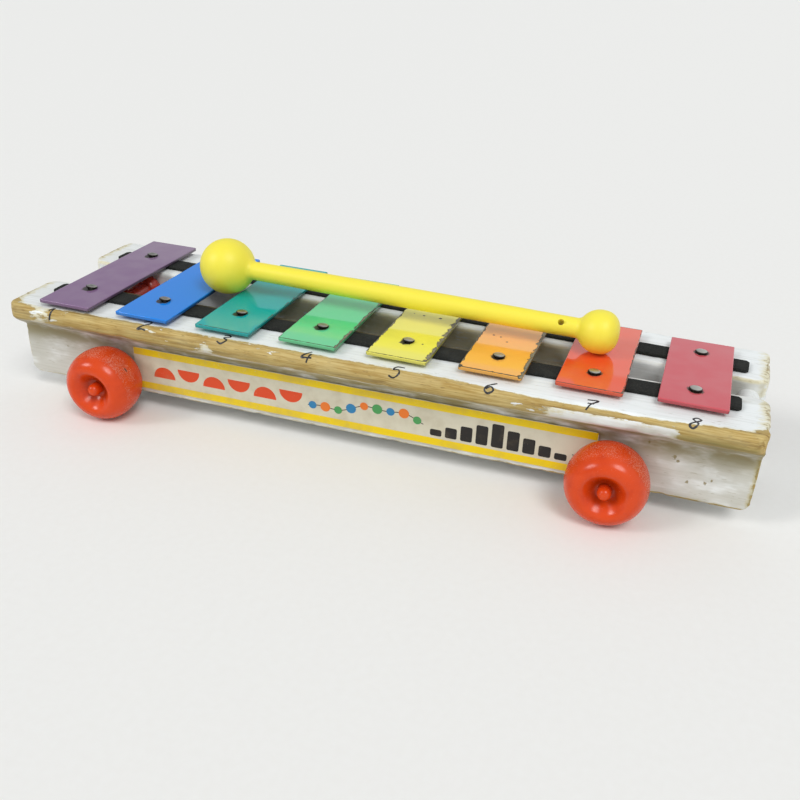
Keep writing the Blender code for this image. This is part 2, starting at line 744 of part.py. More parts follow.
def build_side(side, materials, shared_cutters):
    """Everything that is fixed to or turns on one rail."""
    name = "front" if side == FRONT else "back"
    frame = add_side_frame(side)
    build_rail(f"{name}_rail", side, frame, materials["paint"], shared_cutters)
    build_felt(f"{name}_felt", side, frame, materials["felt"])
    build_nails(f"{name}_nail", side, frame, materials["nail"])
    for end, x in axle_stations().items():
        build_wheel(f"{name}_{end}_wheel", side, x, frame, materials["wheel"])
        build_axle_pin(f"{name}_{end}_axle_pin", side, x, frame, materials["wheel"])
    if side == FRONT:
        build_label(frame, materials["label"])


def bar_colours():
    """Enamel colours of the bars from the wide end to the narrow end."""
    return [
        (0.27, 0.13, 0.30), (0.04, 0.23, 0.76), (0.01, 0.37, 0.29), (0.12, 0.70, 0.25),
        (0.88, 0.80, 0.07), (1.00, 0.43, 0.06), (0.86, 0.10, 0.03), (0.64, 0.11, 0.15),
    ]


def build_toy():
    """Build every piece of the toy."""
    clear_scene()
    new_collection(OBJECT_NAME)
    new_collection("cutters")
    materials = {
        "paint": make_material("white_paint", (0.77, 0.77, 0.74), 0.5),
        "felt": make_material("black_felt", (0.03, 0.03, 0.03), 0.95),
        "nail": make_material("nail_steel", (0.25, 0.24, 0.23), 0.4, 1.0),
        "wheel": make_material("red_plastic", (0.75, 0.07, 0.02), 0.3),
        "label": make_material("printed_paper", (0.80, 0.76, 0.62), 0.6),
        "mallet": make_material("yellow_plastic", (0.85, 0.72, 0.03), 0.35),
    }
    shared_cutters = {
        "foot_trim": add_cutter(foot_trim()),
        "dowel_seats": joined_cutter("dowel_seats", dowel_holes()),
    }
    for side in (FRONT, BACK):
        build_side(side, materials, shared_cutters)
    for index, colour in enumerate(bar_colours()):
        build_bar(index, make_material(f"bar_enamel_{index + 1}", colour, 0.3))
    build_dowel(materials["paint"])
    build_spool(materials["wheel"])
    build_mallet(materials["mallet"])
    bpy.context.view_layer.update()


build_toy()
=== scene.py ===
"""Looks of a pull-along toy xylophone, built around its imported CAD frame.

Lengths are in metres, in the frame of the CAD: +X towards the narrow end, +Y away from the labelled side and
+Z up. A rail's own frame is (station along it, distance out from its inner face, height over its foot).
"""

import logging
import math
from collections.abc import Callable, Sequence
from dataclasses import dataclass
from enum import Enum
from typing import NamedTuple

import bmesh
import bpy
from mathutils import Matrix, Vector, noise


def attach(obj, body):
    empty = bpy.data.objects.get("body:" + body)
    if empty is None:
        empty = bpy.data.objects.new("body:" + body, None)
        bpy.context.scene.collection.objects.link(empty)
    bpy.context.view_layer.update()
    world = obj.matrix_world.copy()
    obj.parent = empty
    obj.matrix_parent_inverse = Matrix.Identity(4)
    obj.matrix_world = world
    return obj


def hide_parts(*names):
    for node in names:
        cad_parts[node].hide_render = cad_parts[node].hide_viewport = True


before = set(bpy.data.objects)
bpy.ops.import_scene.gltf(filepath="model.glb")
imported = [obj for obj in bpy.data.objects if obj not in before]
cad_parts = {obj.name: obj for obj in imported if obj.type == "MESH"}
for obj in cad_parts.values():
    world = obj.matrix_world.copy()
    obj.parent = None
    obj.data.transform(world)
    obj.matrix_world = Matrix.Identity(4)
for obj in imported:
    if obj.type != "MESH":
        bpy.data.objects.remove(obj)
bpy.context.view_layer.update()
WELD = 2e-6
SHARP_ANGLE = math.radians(38)
SEAT_GAP = 0.0003
QUARTER_TURN = math.radians(90)
NEAR_SKIRT_PITS = (
    (0.1613, 0.0309, 0.0304, 0.0009), (0.1747, 0.0309, 0.0245, 0.0013), (0.1765, 0.0309, 0.0225, 0.001),
    (0.1828, 0.0309, 0.0113, 0.001), (0.1915, 0.0309, 0.0125, 0.001), (0.1945, 0.0309, 0.0145, 0.0008),
    (-0.1924, 0.0309, 0.0385, 0.001), (-0.1875, 0.0309, 0.022, 0.0007))
log = logging.getLogger("xylophone")

Colour = tuple[float, float, float, float]
Point = tuple[float, float]
Row = list[Vector]
Measure = Callable[[Vector], float]
Socket = bpy.types.NodeSocket


class Side(Enum):
    """The two long sides of the toy; the value is the sign of their Y."""

    FRONT = -1
    BACK = 1


class WheelEnd(Enum):
    """The two ends of the toy, by the spacing of its rails."""

    WIDE = "wide"
    NARROW = "narrow"


class HalfSize(NamedTuple):
    """Half of a plate's width, length and thickness."""

    x: float
    y: float
    z: float


class Kind(Enum):
    """Kinds of node: the type, its settings, the sockets fed in order, and the output taken."""

    MEASURE = ("Attribute", {}, (), "Fac")
    PLACE = ("Attribute", {"attribute_name": "place"}, (), "Vector")
    STRETCH = ("VectorMath", {"operation": "MULTIPLY"}, (0, 1), 0)
    DISTANCE = ("VectorMath", {"operation": "DISTANCE"}, (0, 1), "Value")
    LENGTH = ("VectorMath", {"operation": "LENGTH"}, (0,), "Value")
    SPLIT = ("SeparateXYZ", {}, (0,), 0)
    JOIN = ("CombineXYZ", {}, (0, 1, 2), 0)
    NOISE = ("TexNoise", {"noise_dimensions": "4D"}, ("Vector", "Scale", "Detail", "Roughness", "W"), 0)
    TIMES = ("Math", {"operation": "MULTIPLY"}, (0, 1), 0)
    TIMES_PLUS = ("Math", {"operation": "MULTIPLY_ADD"}, (0, 1, 2), 0)
    PLUS = ("Math", {"operation": "ADD"}, (0, 1), 0)
    MINUS = ("Math", {"operation": "SUBTRACT"}, (0, 1), 0)
    LARGER = ("Math", {"operation": "MAXIMUM"}, (0, 1), 0)
    UNSIGNED = ("Math", {"operation": "ABSOLUTE"}, (0,), 0)
    STEP = ("MapRange", {"interpolation_type": "SMOOTHSTEP"}, (0, 1, 2), 0)
    RAMP = ("MapRange", {"interpolation_type": "LINEAR"}, (0, 1, 2, 3, 4), 0)
    TINT = ("Mix", {"data_type": "RGBA"}, (0, 6, 7), 2)
    BALANCE = ("Mix", {"data_type": "FLOAT"}, (0, 2, 3), 0)
    BUMP = ("Bump", {}, ("Height", "Distance", "Strength", "Normal"), 0)
    SHADER = ("BsdfPrincipled", {}, (), 0)
    SURFACE = ("OutputMaterial", {}, ("Surface",), 0)
    COORDINATES = ("TexCoord", {}, (), "Object")
    RAYS = ("LightPath", {}, (), 0)
    SKY = ("Background", {}, ("Color", "Strength"), 0)
    WORLD = ("OutputWorld", {}, ("Surface",), 0)


# Nodes and patterns


def linear(code: str) -> Colour:
    """Turn an sRGB hex colour into a linear one.

    Args:
        code: colour as #RRGGBB.

    Returns:
        Linear red, green and blue, and full alpha.
    """
    shares = [int(code[place:place + 2], 16) / 255 for place in (1, 3, 5)]
    red, green, blue = [v / 12.92 if v <= 0.04045 else ((v + 0.055) / 1.055) ** 2.4 for v in shares]
    return red, green, blue, 1.0


class Recipe:
    """The nodes of a material or world in the making."""

    def __init__(self, owner: bpy.types.Material | bpy.types.World) -> None:
        """Clear an owner's nodes.

        Args:
            owner: material or world that the nodes are for.
        """
        owner.use_nodes = True
        self.owner = owner
        self.tree = owner.node_tree
        self.tree.nodes.clear()

    def add(self, kind: Kind, *inputs: object, **settings: object) -> Socket | None:
        """Add a node with its settings and links.

        Args:
            kind: kind of the node.
            inputs: values or output sockets for the kind's sockets, in order.
            settings: properties of the node, and what feeds its sockets by name, with _ for spaces.

        Returns:
            The output that the kind gives, if the node has one.
        """
        node_type, usual_settings, sockets, output = kind.value
        node = self.tree.nodes.new("ShaderNode" + node_type)
        feeds = dict(zip(sockets, inputs))
        for name, value in {**usual_settings, **settings}.items():
            if name.replace("_", " ") in node.inputs:
                feeds[name.replace("_", " ")] = value
            else:
                setattr(node, name, value)
        for key, value in feeds.items():
            if isinstance(value, Socket):
                self.tree.links.new(value, node.inputs[key])
            else:
                node.inputs[key].default_value = value
        return node.outputs[output] if node.outputs else None

    def place(self, stretch: Sequence[float] = (1, 1, 1)) -> Socket:
        """Place of a point in its piece's own frame, in metres, times a factor on each axis."""
        return self.add(Kind.STRETCH, self.add(Kind.PLACE), stretch)

    def layers(self, base: Socket | str, *coats: tuple[Socket, Socket | str]) -> Socket:
        """Lay colours over one another.

        Args:
            base: lowest colour, as a socket or sRGB hex.
            coats: each further coat's share and its colour.

        Returns:
            Colour of the whole.
        """
        colour = linear(base) if isinstance(base, str) else base
        for share, coat in coats:
            colour = self.add(Kind.TINT, share, colour, linear(coat) if isinstance(coat, str) else coat)
        return colour

    def finish(self, **inputs: object) -> bpy.types.Material:
        """Close a material with a shader fed by inputs that are named with _ for spaces."""
        self.add(Kind.SURFACE, self.add(Kind.SHADER, **inputs))
        return self.owner


@dataclass(frozen=True)
class Pattern:
    """A noise with blotches of a real size, in metres, cut to a soft mask and weakened where asked."""

    size: float
    detail: float = 2.0
    roughness: float = 0.5
    seed: float = 0.0
    stretch: tuple[float, float, float] = (1, 1, 1)
    cut: tuple[float, float] | None = None
    share: float = 1.0

    def draw(self, mix: Recipe, shift: float = 0.0) -> Socket:
        """Add the nodes that draw the pattern.

        Args:
            mix: recipe that takes them.
            shift: what the seed is moved by.

        Returns:
            The pattern, from 0 to 1.
        """
        value = mix.add(Kind.NOISE, mix.place(self.stretch), 1 / self.size, self.detail, self.roughness,
                        self.seed + shift)
        if self.cut:
            value = mix.add(Kind.STEP, value, *self.cut)
        return value if self.share == 1.0 else mix.add(Kind.TIMES, value, self.share)


# Meshes


def skin(rows: Sequence[Row]) -> bmesh.types.BMesh:
    """Skin rings of points.

    Args:
        rows: rings of as many points each, whose open ends are capped.

    Returns:
        The closed mesh.
    """
    work = bmesh.new()
    rings = [[work.verts.new(point) for point in row] for row in rows]
    for upper, lower in zip(rings, rings[1:]):
        for index, corner in enumerate(upper):
            following = (index + 1) % len(upper)
            work.faces.new((corner, upper[following], lower[following], lower[index]))
    bmesh.ops.remove_doubles(work, verts=work.verts, dist=WELD)
    bmesh.ops.dissolve_degenerate(work, edges=work.edges, dist=WELD)
    spurs = [vertex for vertex in work.verts if len(vertex.link_edges) == 2]
    bmesh.ops.dissolve_verts(work, verts=spurs)
    bmesh.ops.holes_fill(work, edges=[edge for edge in work.edges if edge.is_boundary])
    return work


def solid(name: str, work: bmesh.types.BMesh, material: bpy.types.Material, world: Matrix = Matrix(),
          shape: Measure | None = None, **measures: Measure) -> bpy.types.Object:
    """Turn a bmesh into a dressed piece.

    Args:
        name: name of the piece.
        work: closed mesh in the piece's own frame, freed afterwards.
        material: finish of the piece.
        world: matrix from the piece's own frame to the toy's.
        shape: how far each place is sunk inward, in metres.
        measures: functions that give each place a value, kept as attributes of the mesh under their names.

    Returns:
        The piece, with its own frame's coordinates kept in the attribute "place".
    """
    bmesh.ops.recalc_face_normals(work, faces=work.faces)
    work.normal_update()
    places = [vertex.co.copy() for vertex in work.verts]
    if shape:
        for vertex, place in zip(work.verts, places):
            vertex.co -= vertex.normal * shape(place)
    mesh = bpy.data.meshes.new(name)
    work.to_mesh(mesh)
    work.free()
    attribute = mesh.attributes.new("place", "FLOAT_VECTOR", "POINT")
    attribute.data.foreach_set("vector", [c for place in places for c in place])
    for title, measure in measures.items():
        attribute = mesh.attributes.new(title, "FLOAT", "POINT")
        attribute.data.foreach_set("value", [measure(place) for place in places])
    mesh.transform(world)
    if world.determinant() < 0:
        mesh.flip_normals()
    mesh.shade_smooth()
    mesh.set_sharp_from_angle(angle=SHARP_ANGLE)
    mesh.materials.append(material)
    return in_scene(bpy.data.objects.new(name, mesh))


def in_scene(thing: bpy.types.Object) -> bpy.types.Object:
    """Link an object to the scene."""
    bpy.context.scene.collection.objects.link(thing)
    return thing


def as_mesh(thing: bpy.types.Object) -> bpy.types.Mesh:
    """Mesh of an object with its modifiers or its curve worked out."""
    return bpy.data.meshes.new_from_object(thing.evaluated_get(bpy.context.evaluated_depsgraph_get()))


def turned(profile: Sequence[Point], steps: int) -> bmesh.types.BMesh:
    """Turn a profile of (radius, height) about Z, in a number of steps."""
    turns = [(math.cos(math.tau * step / steps), math.sin(math.tau * step / steps)) for step in range(steps)]
    return skin([[Vector((radius * a, radius * b, height)) for a, b in turns] for radius, height in profile])


def arc(centre: Point, radius: float, start: float, end: float, steps: int) -> list[Point]:
    """Points on an arc between two angles in degrees, with both ends, in a number of steps."""
    angles = [math.radians(start + (end - start) * step / steps) for step in range(steps + 1)]
    return [(centre[0] + radius * math.cos(a), centre[1] + radius * math.sin(a)) for a in angles]


def rounded(corners: Sequence[tuple[float, float, float]], steps: int) -> list[Point]:
    """Round the corners of an outline.

    Args:
        corners: corners of the outline as (a, b, radius).
        steps: steps of each rounding.

    Returns:
        Points of the rounded outline.
    """
    points: list[Point] = []
    for index, (a, b, radius) in enumerate(corners):
        corner = Vector((a, b))
        before = (Vector(corners[index - 1][:2]) - corner).normalized()
        after = (Vector(corners[(index + 1) % len(corners)][:2]) - corner).normalized()
        half = before.angle(after) / 2
        centre = corner + (before + after).normalized() * (radius / math.sin(half))
        reach = radius / math.tan(half)
        start = corner + before * reach - centre
        end = corner + after * reach - centre
        first = math.degrees(math.atan2(start.y, start.x))
        sweep = math.degrees(math.remainder(math.atan2(end.y, end.x) - math.radians(first), math.tau))
        points += arc(tuple(centre), radius, first, first + sweep, steps)
    return points


def blend(value: float, low: float, high: float) -> float:
    """Smooth step of a value from low to high."""
    share = min(max((value - low) / (high - low), 0.0), 1.0)
    return share * share * (3 - 2 * share)


def bell(value: float, middle: float, width: float) -> float:
    """Bell curve of a value about a middle."""
    return math.exp(-((value - middle) / width) ** 2)


def quarter_round(rise: float, radius: float) -> float:
    """How far a rounded edge draws back at a height above its foot."""
    left = min(max(radius - rise, 0.0), radius)
    return radius - math.sqrt(radius ** 2 - left ** 2)


def interpolate(points: Sequence[Point], at: float) -> float:
    """Read a polyline off.

    Args:
        points: its points as (place, value), sorted by place.
        at: place.

    Returns:
        Its value there.
    """
    for (low, first), (high, second) in zip(points, points[1:]):
        if at <= high:
            return first if high - low < WELD else first + (second - first) * (at - low) / (high - low)
    return points[-1][1]


def hand_in(piece: bpy.types.Object, body: str, slot: str, *nodes: str) -> bpy.types.Object:
    """Let a piece ride on its body and stand for its CAD nodes.

    Args:
        piece: piece to hand in.
        body: body that carries it.
        slot: material slot of the CAD that it shows; not used.
        nodes: CAD nodes that it stands for.

    Returns:
        The same piece.
    """
    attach(piece, body)
    if nodes:
        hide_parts(*nodes)
    log.info("%s: %d faces on %s", piece.name, len(piece.data.polygons), body)
    return piece


# Finishes


@dataclass(frozen=True)
class BrushedPaint:
    """White gloss paint brushed on birch and rubbed through.

    It gives the eye a chalky off-white with brush lines along the board, and warm bare wood where hands and
    knocks have taken the paint off, with a streaky, ragged rim. Grain and brush lines are drawn about twice
    as coarse as real ones, so that they show. The pits are (station, out, height, radius).
    """

    name: str = "worn_white_paint_on_birch"
    pits: tuple[tuple[float, float, float, float], ...] = ()
    paint: str = "#F3F6F5"
    paint_shade: str = "#DCDFDB"
    thin_paint: str = "#DDD09A"
    grime: str = "#84763F"
    soot_and_shade: str = "#453B22"
    wood: str = "#AD8C46"
    wood_light: str = "#CEB573"
    wood_dark: str = "#67491F"
    flakes: Pattern = Pattern(0.0034, 4, 0.66, stretch=(0.6, 1, 1))
    streaks: Pattern = Pattern(0.0017, 4, 0.6, 4, (0.16, 1, 1))
    flecks: Pattern = Pattern(0.0022, 3, 0.6, 13, (0.22, 1, 1), (0.58, 0.64))
    clusters: Pattern = Pattern(0.016, 2, 0.5, 15, (0.5, 1, 1), (0.5, 0.58))
    pinholes: Pattern = Pattern(0.0021, 3, 0.6, 11, (0.7, 1, 1), (0.7, 0.74))
    pinhole_patches: Pattern = Pattern(0.02, 1, 0.5, 12, cut=(0.48, 0.6))
    pit_rim: Pattern = Pattern(0.0012, 3, 0.6, 14)
    grain: Pattern = Pattern(0.0009, 3, 0.6, 1, (0.05, 1, 1))
    broad_grain: Pattern = Pattern(0.0036, 4, 0.65, 2, (0.05, 1, 1), (0.48, 0.72), 0.75)
    pores: Pattern = Pattern(0.00063, 2, 0.5, 5, (0.16, 1, 1), (0.6, 0.7), 0.5)
    paint_dust: Pattern = Pattern(0.006, 4, 0.65, 6, (0.3, 1, 1), (0.42, 0.66), 0.25)
    brush_lines: Pattern = Pattern(0.0012, 3, 0.55, 7, (0.05, 1, 1))
    clouds: Pattern = Pattern(0.018, 3, 0.5, 8, cut=(0.5, 0.8), share=0.16)
    cracks: Pattern = Pattern(0.0008, 1, 0.5, 9, (0.16, 1, 1), (0.67, 0.74), 0.32)
    smears: Pattern = Pattern(0.009, 3, 0.6, 10, (0.4, 1, 1), (0.2, 0.6))
    calm_ends: tuple[float, float] = (0.198, 0.208)
    calm_inner_face: tuple[float, float] = (0.0008, 0.0035)
    pit_edge: float = 0.0002
    paint_depth: float = 0.00012
    grain_depth: float = 0.00006

    def rubbed(self, mix: Recipe) -> Socket:
        """Add the nodes that tell how far the paint is rubbed off.

        Args:
            mix: recipe of the material.

        Returns:
            The wear with ragged, streaky edges, calm at the ends and on the inner face.
        """
        split = mix.add(Kind.SPLIT, mix.place()).node.outputs
        near_end = mix.add(Kind.STEP, mix.add(Kind.UNSIGNED, split[0]), *self.calm_ends)
        calm = mix.add(Kind.TIMES_PLUS, mix.add(Kind.STEP, split[1], *self.calm_inner_face), 0.7, 0.3)
        along = mix.add(Kind.TIMES, mix.add(Kind.TIMES_PLUS, near_end, -0.9, 1.0), calm)
        streaks = mix.add(Kind.TIMES_PLUS, self.streaks.draw(mix), 0.6, -0.3)
        streaks = mix.add(Kind.TIMES, streaks, along)
        flakes = mix.add(Kind.TIMES_PLUS, self.flakes.draw(mix), 0.75, -0.375)
        flakes = mix.add(Kind.TIMES, flakes, calm)
        wear = mix.add(Kind.MEASURE, attribute_name="wear")
        wear = mix.add(Kind.PLUS, wear, mix.add(Kind.PLUS, flakes, streaks))
        kept = mix.add(Kind.TIMES_PLUS, self.clusters.draw(mix), -0.35, -0.35)
        return mix.add(Kind.TIMES_PLUS, mix.add(Kind.TIMES, self.flecks.draw(mix), along), kept, wear)

    def pitted(self, mix: Recipe) -> Socket:
        """Add the nodes that draw the pinholes and the single pits.

        Args:
            mix: recipe of the material.

        Returns:
            Share of pit.
        """
        pits = mix.add(Kind.TIMES, self.pinholes.draw(mix), self.pinhole_patches.draw(mix))
        rim = self.pit_rim.draw(mix)
        for x, out, height, radius in self.pits:
            away = mix.add(Kind.DISTANCE, mix.place(), (x, out, height))
            limit = mix.add(Kind.TIMES_PLUS, rim, radius * 3, -radius * 0.7)
            pit = mix.add(Kind.STEP, mix.add(Kind.MINUS, limit, away), -self.pit_edge, self.pit_edge)
            pits = mix.add(Kind.LARGER, pits, pit)
        return pits

    def build(self) -> bpy.types.Material:
        """Build the material.

        Returns:
            The finished material.
        """
        mix = Recipe(bpy.data.materials.new(self.name))
        worn = self.rubbed(mix)
        pits = self.pitted(mix)
        grain = self.grain.draw(mix)
        brush = self.brush_lines.draw(mix)
        thin = mix.add(Kind.TIMES, mix.add(Kind.STEP, worn, 0.2, 0.48), 0.7)
        bare = mix.add(Kind.STEP, worn, 0.48, 0.53)
        rim = mix.add(Kind.MINUS, mix.add(Kind.STEP, worn, 0.43, 0.5), bare)
        wood = mix.layers(self.wood, (mix.add(Kind.STEP, grain, 0.35, 0.7), self.wood_light),
                          (self.broad_grain.draw(mix), self.wood_dark),
                          (self.pores.draw(mix), self.wood_dark),
                          (self.paint_dust.draw(mix), self.thin_paint))
        cracks = mix.add(Kind.LARGER, self.cracks.draw(mix), mix.add(Kind.TIMES, pits, 0.8))
        paint = mix.layers(self.paint, (mix.add(Kind.STEP, brush, 0.4, 0.9), self.paint_shade),
                           (self.clouds.draw(mix), self.grime), (thin, self.thin_paint), (cracks, self.grime))
        # The grime attribute brings grime and painted shade, laid on through the smears; past one it is
        # painted shade alone, in the darkest colour
        grime = mix.add(Kind.MEASURE, attribute_name="grime")
        dirt = mix.add(Kind.TIMES, grime, self.smears.draw(mix))
        colour = mix.layers(paint, (bare, wood), (mix.add(Kind.TIMES, rim, 0.5), self.wood_dark),
                            (dirt, self.grime), (mix.add(Kind.STEP, grime, 1.0, 2.0), self.soot_and_shade))
        rough = mix.add(Kind.TIMES_PLUS, bare, 0.18, mix.add(Kind.TIMES_PLUS, brush, 0.2, 0.38))
        height = mix.add(Kind.MINUS, 1.0, mix.add(Kind.LARGER, bare, pits))
        relief = mix.add(Kind.TIMES_PLUS, grain, 0.5, brush)
        normal = mix.add(Kind.BUMP, height, self.paint_depth)
        normal = mix.add(Kind.BUMP, relief, self.grain_depth, 0.6, normal)
        return mix.finish(Base_Color=colour, Roughness=rough, Normal=normal)


@dataclass(frozen=True)
class EdgeChips:
    """How far the enamel is chipped back from each edge of a bar, in metres."""

    left: float = 0.0
    right: float = 0.0001
    near: float = 0.0001
    far: float = 0.0


@dataclass(frozen=True)
class Haze:
    """Share of pale haze in the enamel: rubbed in at the near end and all over, and a painted reflection at
    the far end.
    """

    near: float = 0.0
    all_over: float = 0.0
    far: float = 0.0


@dataclass(frozen=True)
class BarEnamel:
    """Glossy stoving enamel on a steel bar, chipped through to grey metal at its edges.

    It gives the eye a deep even colour with sharp reflections, a ragged dull rim where it is chipped, brown
    knocks round the nails and small dark spots. Its cut sides carry painted shade, each nail a dark ring of
    grime and painted shadow, and the far end a pale painted reflection. Its scratches are drawn coarser than
    real ones, so that they show. The spots are (across, along, radius) from the bar's middle.
    """

    label: str
    colour: str
    haze: Haze
    coat: float = 0.0
    chips: EdgeChips = EdgeChips()
    spots: tuple[tuple[float, float, float], ...] = ()
    pale: str = "#C9C6C2"
    steel: str = "#8F8A74"
    rust: str = "#4B4533"
    soot_and_shade: str = "#1F1B16"
    ragged: Pattern = Pattern(0.0031, 5, 0.66, stretch=(1, 0.75, 1))
    clouds: Pattern = Pattern(0.014, 2, 0.5, 6, cut=(0.3, 0.8))
    stains: Pattern = Pattern(0.0014, 3, 0.6, 8, cut=(0.35, 0.65), share=0.6)
    scratches: Pattern = Pattern(0.0007, 2, 0.5, 9, (1, 0.07, 1), (0.55, 0.8))
    ripple: Pattern = Pattern(0.0022, 2, 0.5, 10)
    sharp_edge: float = 0.0001
    grime_and_shadow_edge: float = 0.0002
    chip_edge: float = 0.00006
    chip_core: tuple[float, float] = (0.00025, 0.0006)
    chip_steadiness: float = 0.7
    nail_soot: tuple[float, float] = (0.0008, 0.0031)
    nail_knock: tuple[float, float] = (0.0022, 0.0028)
    chip_depth: float = 0.00018
    ripple_depth: float = 0.00001

    def blot(self, mix: Recipe, ragged: Socket, centre: tuple[float, float, float], spread: float,
             radius: float, edge: float) -> Socket:
        """Add the nodes that draw a ragged round mark.

        Args:
            mix: recipe of the material.
            ragged: noise that its rim follows.
            centre: place of its middle.
            spread: how far the noise moves the rim.
            radius: least radius.
            edge: width of the fade outside the rim.

        Returns:
            Share of the mark.
        """
        away = mix.add(Kind.DISTANCE, mix.place(), centre)
        limit = mix.add(Kind.TIMES_PLUS, ragged, spread, radius)
        return mix.add(Kind.STEP, mix.add(Kind.MINUS, limit, away), -edge, self.sharp_edge)

    def chipped(self, mix: Recipe, ragged: Socket, half: HalfSize) -> tuple[Socket, Socket]:
        """Add the nodes that chip the enamel back from the bar's four edges.

        Args:
            mix: recipe of the material.
            ragged: noise that the chips follow.
            half: half the bar's width, length and thickness.

        Returns:
            Share of bare metal, and share of the clean metal away from the chips' rims.
        """
        split = mix.add(Kind.SPLIT, mix.place()).node.outputs
        down = mix.add(Kind.TIMES, mix.add(Kind.MINUS, half.z, split[2]), 2.5)
        bare: Socket | float = 0.0
        core: Socket | float = 0.0
        chips = self.chips
        sides = ((0, -1, chips.left), (0, 1, chips.right), (1, -1, chips.near), (1, 1, chips.far))
        for axis, sign, reach in sides:
            inset = mix.add(Kind.TIMES_PLUS, split[axis], -sign, half[axis])
            depth = mix.add(Kind.LENGTH, mix.add(Kind.JOIN, inset, down))
            steady = self.chip_steadiness * axis
            limit = mix.add(Kind.TIMES_PLUS, ragged, reach * (2.4 - 2 * steady), reach * steady)
            inside = mix.add(Kind.MINUS, limit, depth)
            bare = mix.add(Kind.LARGER, bare, mix.add(Kind.STEP, inside, -self.chip_edge, self.chip_edge))
            core = mix.add(Kind.LARGER, core, mix.add(Kind.STEP, inside, *self.chip_core))
        return bare, core

    def hazed(self, mix: Recipe, along: Socket, half: HalfSize, nail: float, seed: float) -> Socket:
        """Add the nodes that spread the haze and the painted reflection.

        Args:
            mix: recipe of the material.
            along: place along the bar.
            half: half the bar's width, length and thickness.
            nail: distance of the nails from the bar's middle.
            seed: seed of the bar.

        Returns:
            Share of haze and painted reflection.
        """
        haze = mix.add(Kind.TIMES, self.clouds.draw(mix, seed), self.haze.all_over)
        haze = mix.add(Kind.TIMES_PLUS, mix.add(Kind.STEP, along, -nail * 0.8, -half.y), self.haze.near, haze)
        # Painted reflection: paler towards the far end
        return mix.add(Kind.TIMES_PLUS, mix.add(Kind.STEP, along, 0.0, half.y), self.haze.far, haze)

    def build(self, half: HalfSize, nail: float, shift: float) -> bpy.types.Material:
        """Build the material for one bar.

        Args:
            half: half the bar's width, length and thickness.
            nail: distance of the nails from the bar's middle.
            shift: how far the marks round the nails lie off the nails, to the left and near sides.

        Returns:
            The finished material.
        """
        mix = Recipe(bpy.data.materials.new(f"{self.label}_stoving_enamel_on_steel"))
        seed = half.y * 1000
        across, along, up = mix.add(Kind.SPLIT, mix.place()).node.outputs
        below = mix.add(Kind.MINUS, half.z, up)
        ragged = mix.add(Kind.RAMP, self.ragged.draw(mix, seed), 0.33, 0.68)
        bare, core = self.chipped(mix, ragged, half)
        # Dark ring round each nail: grime, and painted shadow of the raised head, set off to the left and
        # near side
        soot_and_shade: Socket | float = 0.0
        for side in Side:
            centre = (-shift, side.value * nail - shift, half.z)
            soot_and_shade = mix.add(Kind.LARGER, soot_and_shade, self.blot(mix, ragged, centre, *self.nail_soot, self.grime_and_shadow_edge))
            knock = self.blot(mix, ragged, centre, *self.nail_knock, self.sharp_edge)
            bare = mix.add(Kind.LARGER, bare, mix.add(Kind.TIMES, knock, 0.7))
        for x, y, radius in self.spots:
            spot = self.blot(mix, ragged, (x, y, half.z), radius * 0.8, radius * 0.6, self.sharp_edge)
            bare = mix.add(Kind.LARGER, bare, spot)
        metal = mix.layers(self.steel, (self.stains.draw(mix, seed), self.rust))
        metal = mix.layers(self.rust, (core, metal))
        enamel = mix.layers(self.colour, (self.hazed(mix, along, half, nail, seed), self.pale))
        # Painted shade: the cut sides are painted darker, the long ones most
        flank = mix.add(Kind.STEP, mix.add(Kind.UNSIGNED, across), half.x - 0.0009, half.x - 0.0003)
        flank = mix.add(Kind.TIMES_PLUS, flank, 0.3, 0.3)
        cut = mix.add(Kind.TIMES, mix.add(Kind.STEP, below, 0.0003, 0.0008), flank)
        shaded = mix.add(Kind.LARGER, cut, mix.add(Kind.TIMES, soot_and_shade, 0.85))
        colour = mix.layers(enamel, (bare, metal), (shaded, self.soot_and_shade))
        rough = mix.add(Kind.TIMES_PLUS, self.scratches.draw(mix, seed), 0.1, 0.1)
        rough = mix.add(Kind.TIMES_PLUS, bare, 0.4, rough)
        whole = mix.add(Kind.MINUS, 1.0, bare)
        normal = mix.add(Kind.BUMP, whole, self.chip_depth)
        normal = mix.add(Kind.BUMP, self.ripple.draw(mix, seed), self.ripple_depth, 0.5, normal)
        # The near ends, by the nails, have lost their gloss
        gloss = mix.add(Kind.STEP, along, -nail - 0.002, -nail + 0.004)
        coat = mix.add(Kind.TIMES, whole, mix.add(Kind.TIMES, gloss, self.coat))
        return mix.finish(Base_Color=colour, Roughness=rough, Normal=normal, Coat_Weight=coat,
                          Coat_Roughness=0.04)


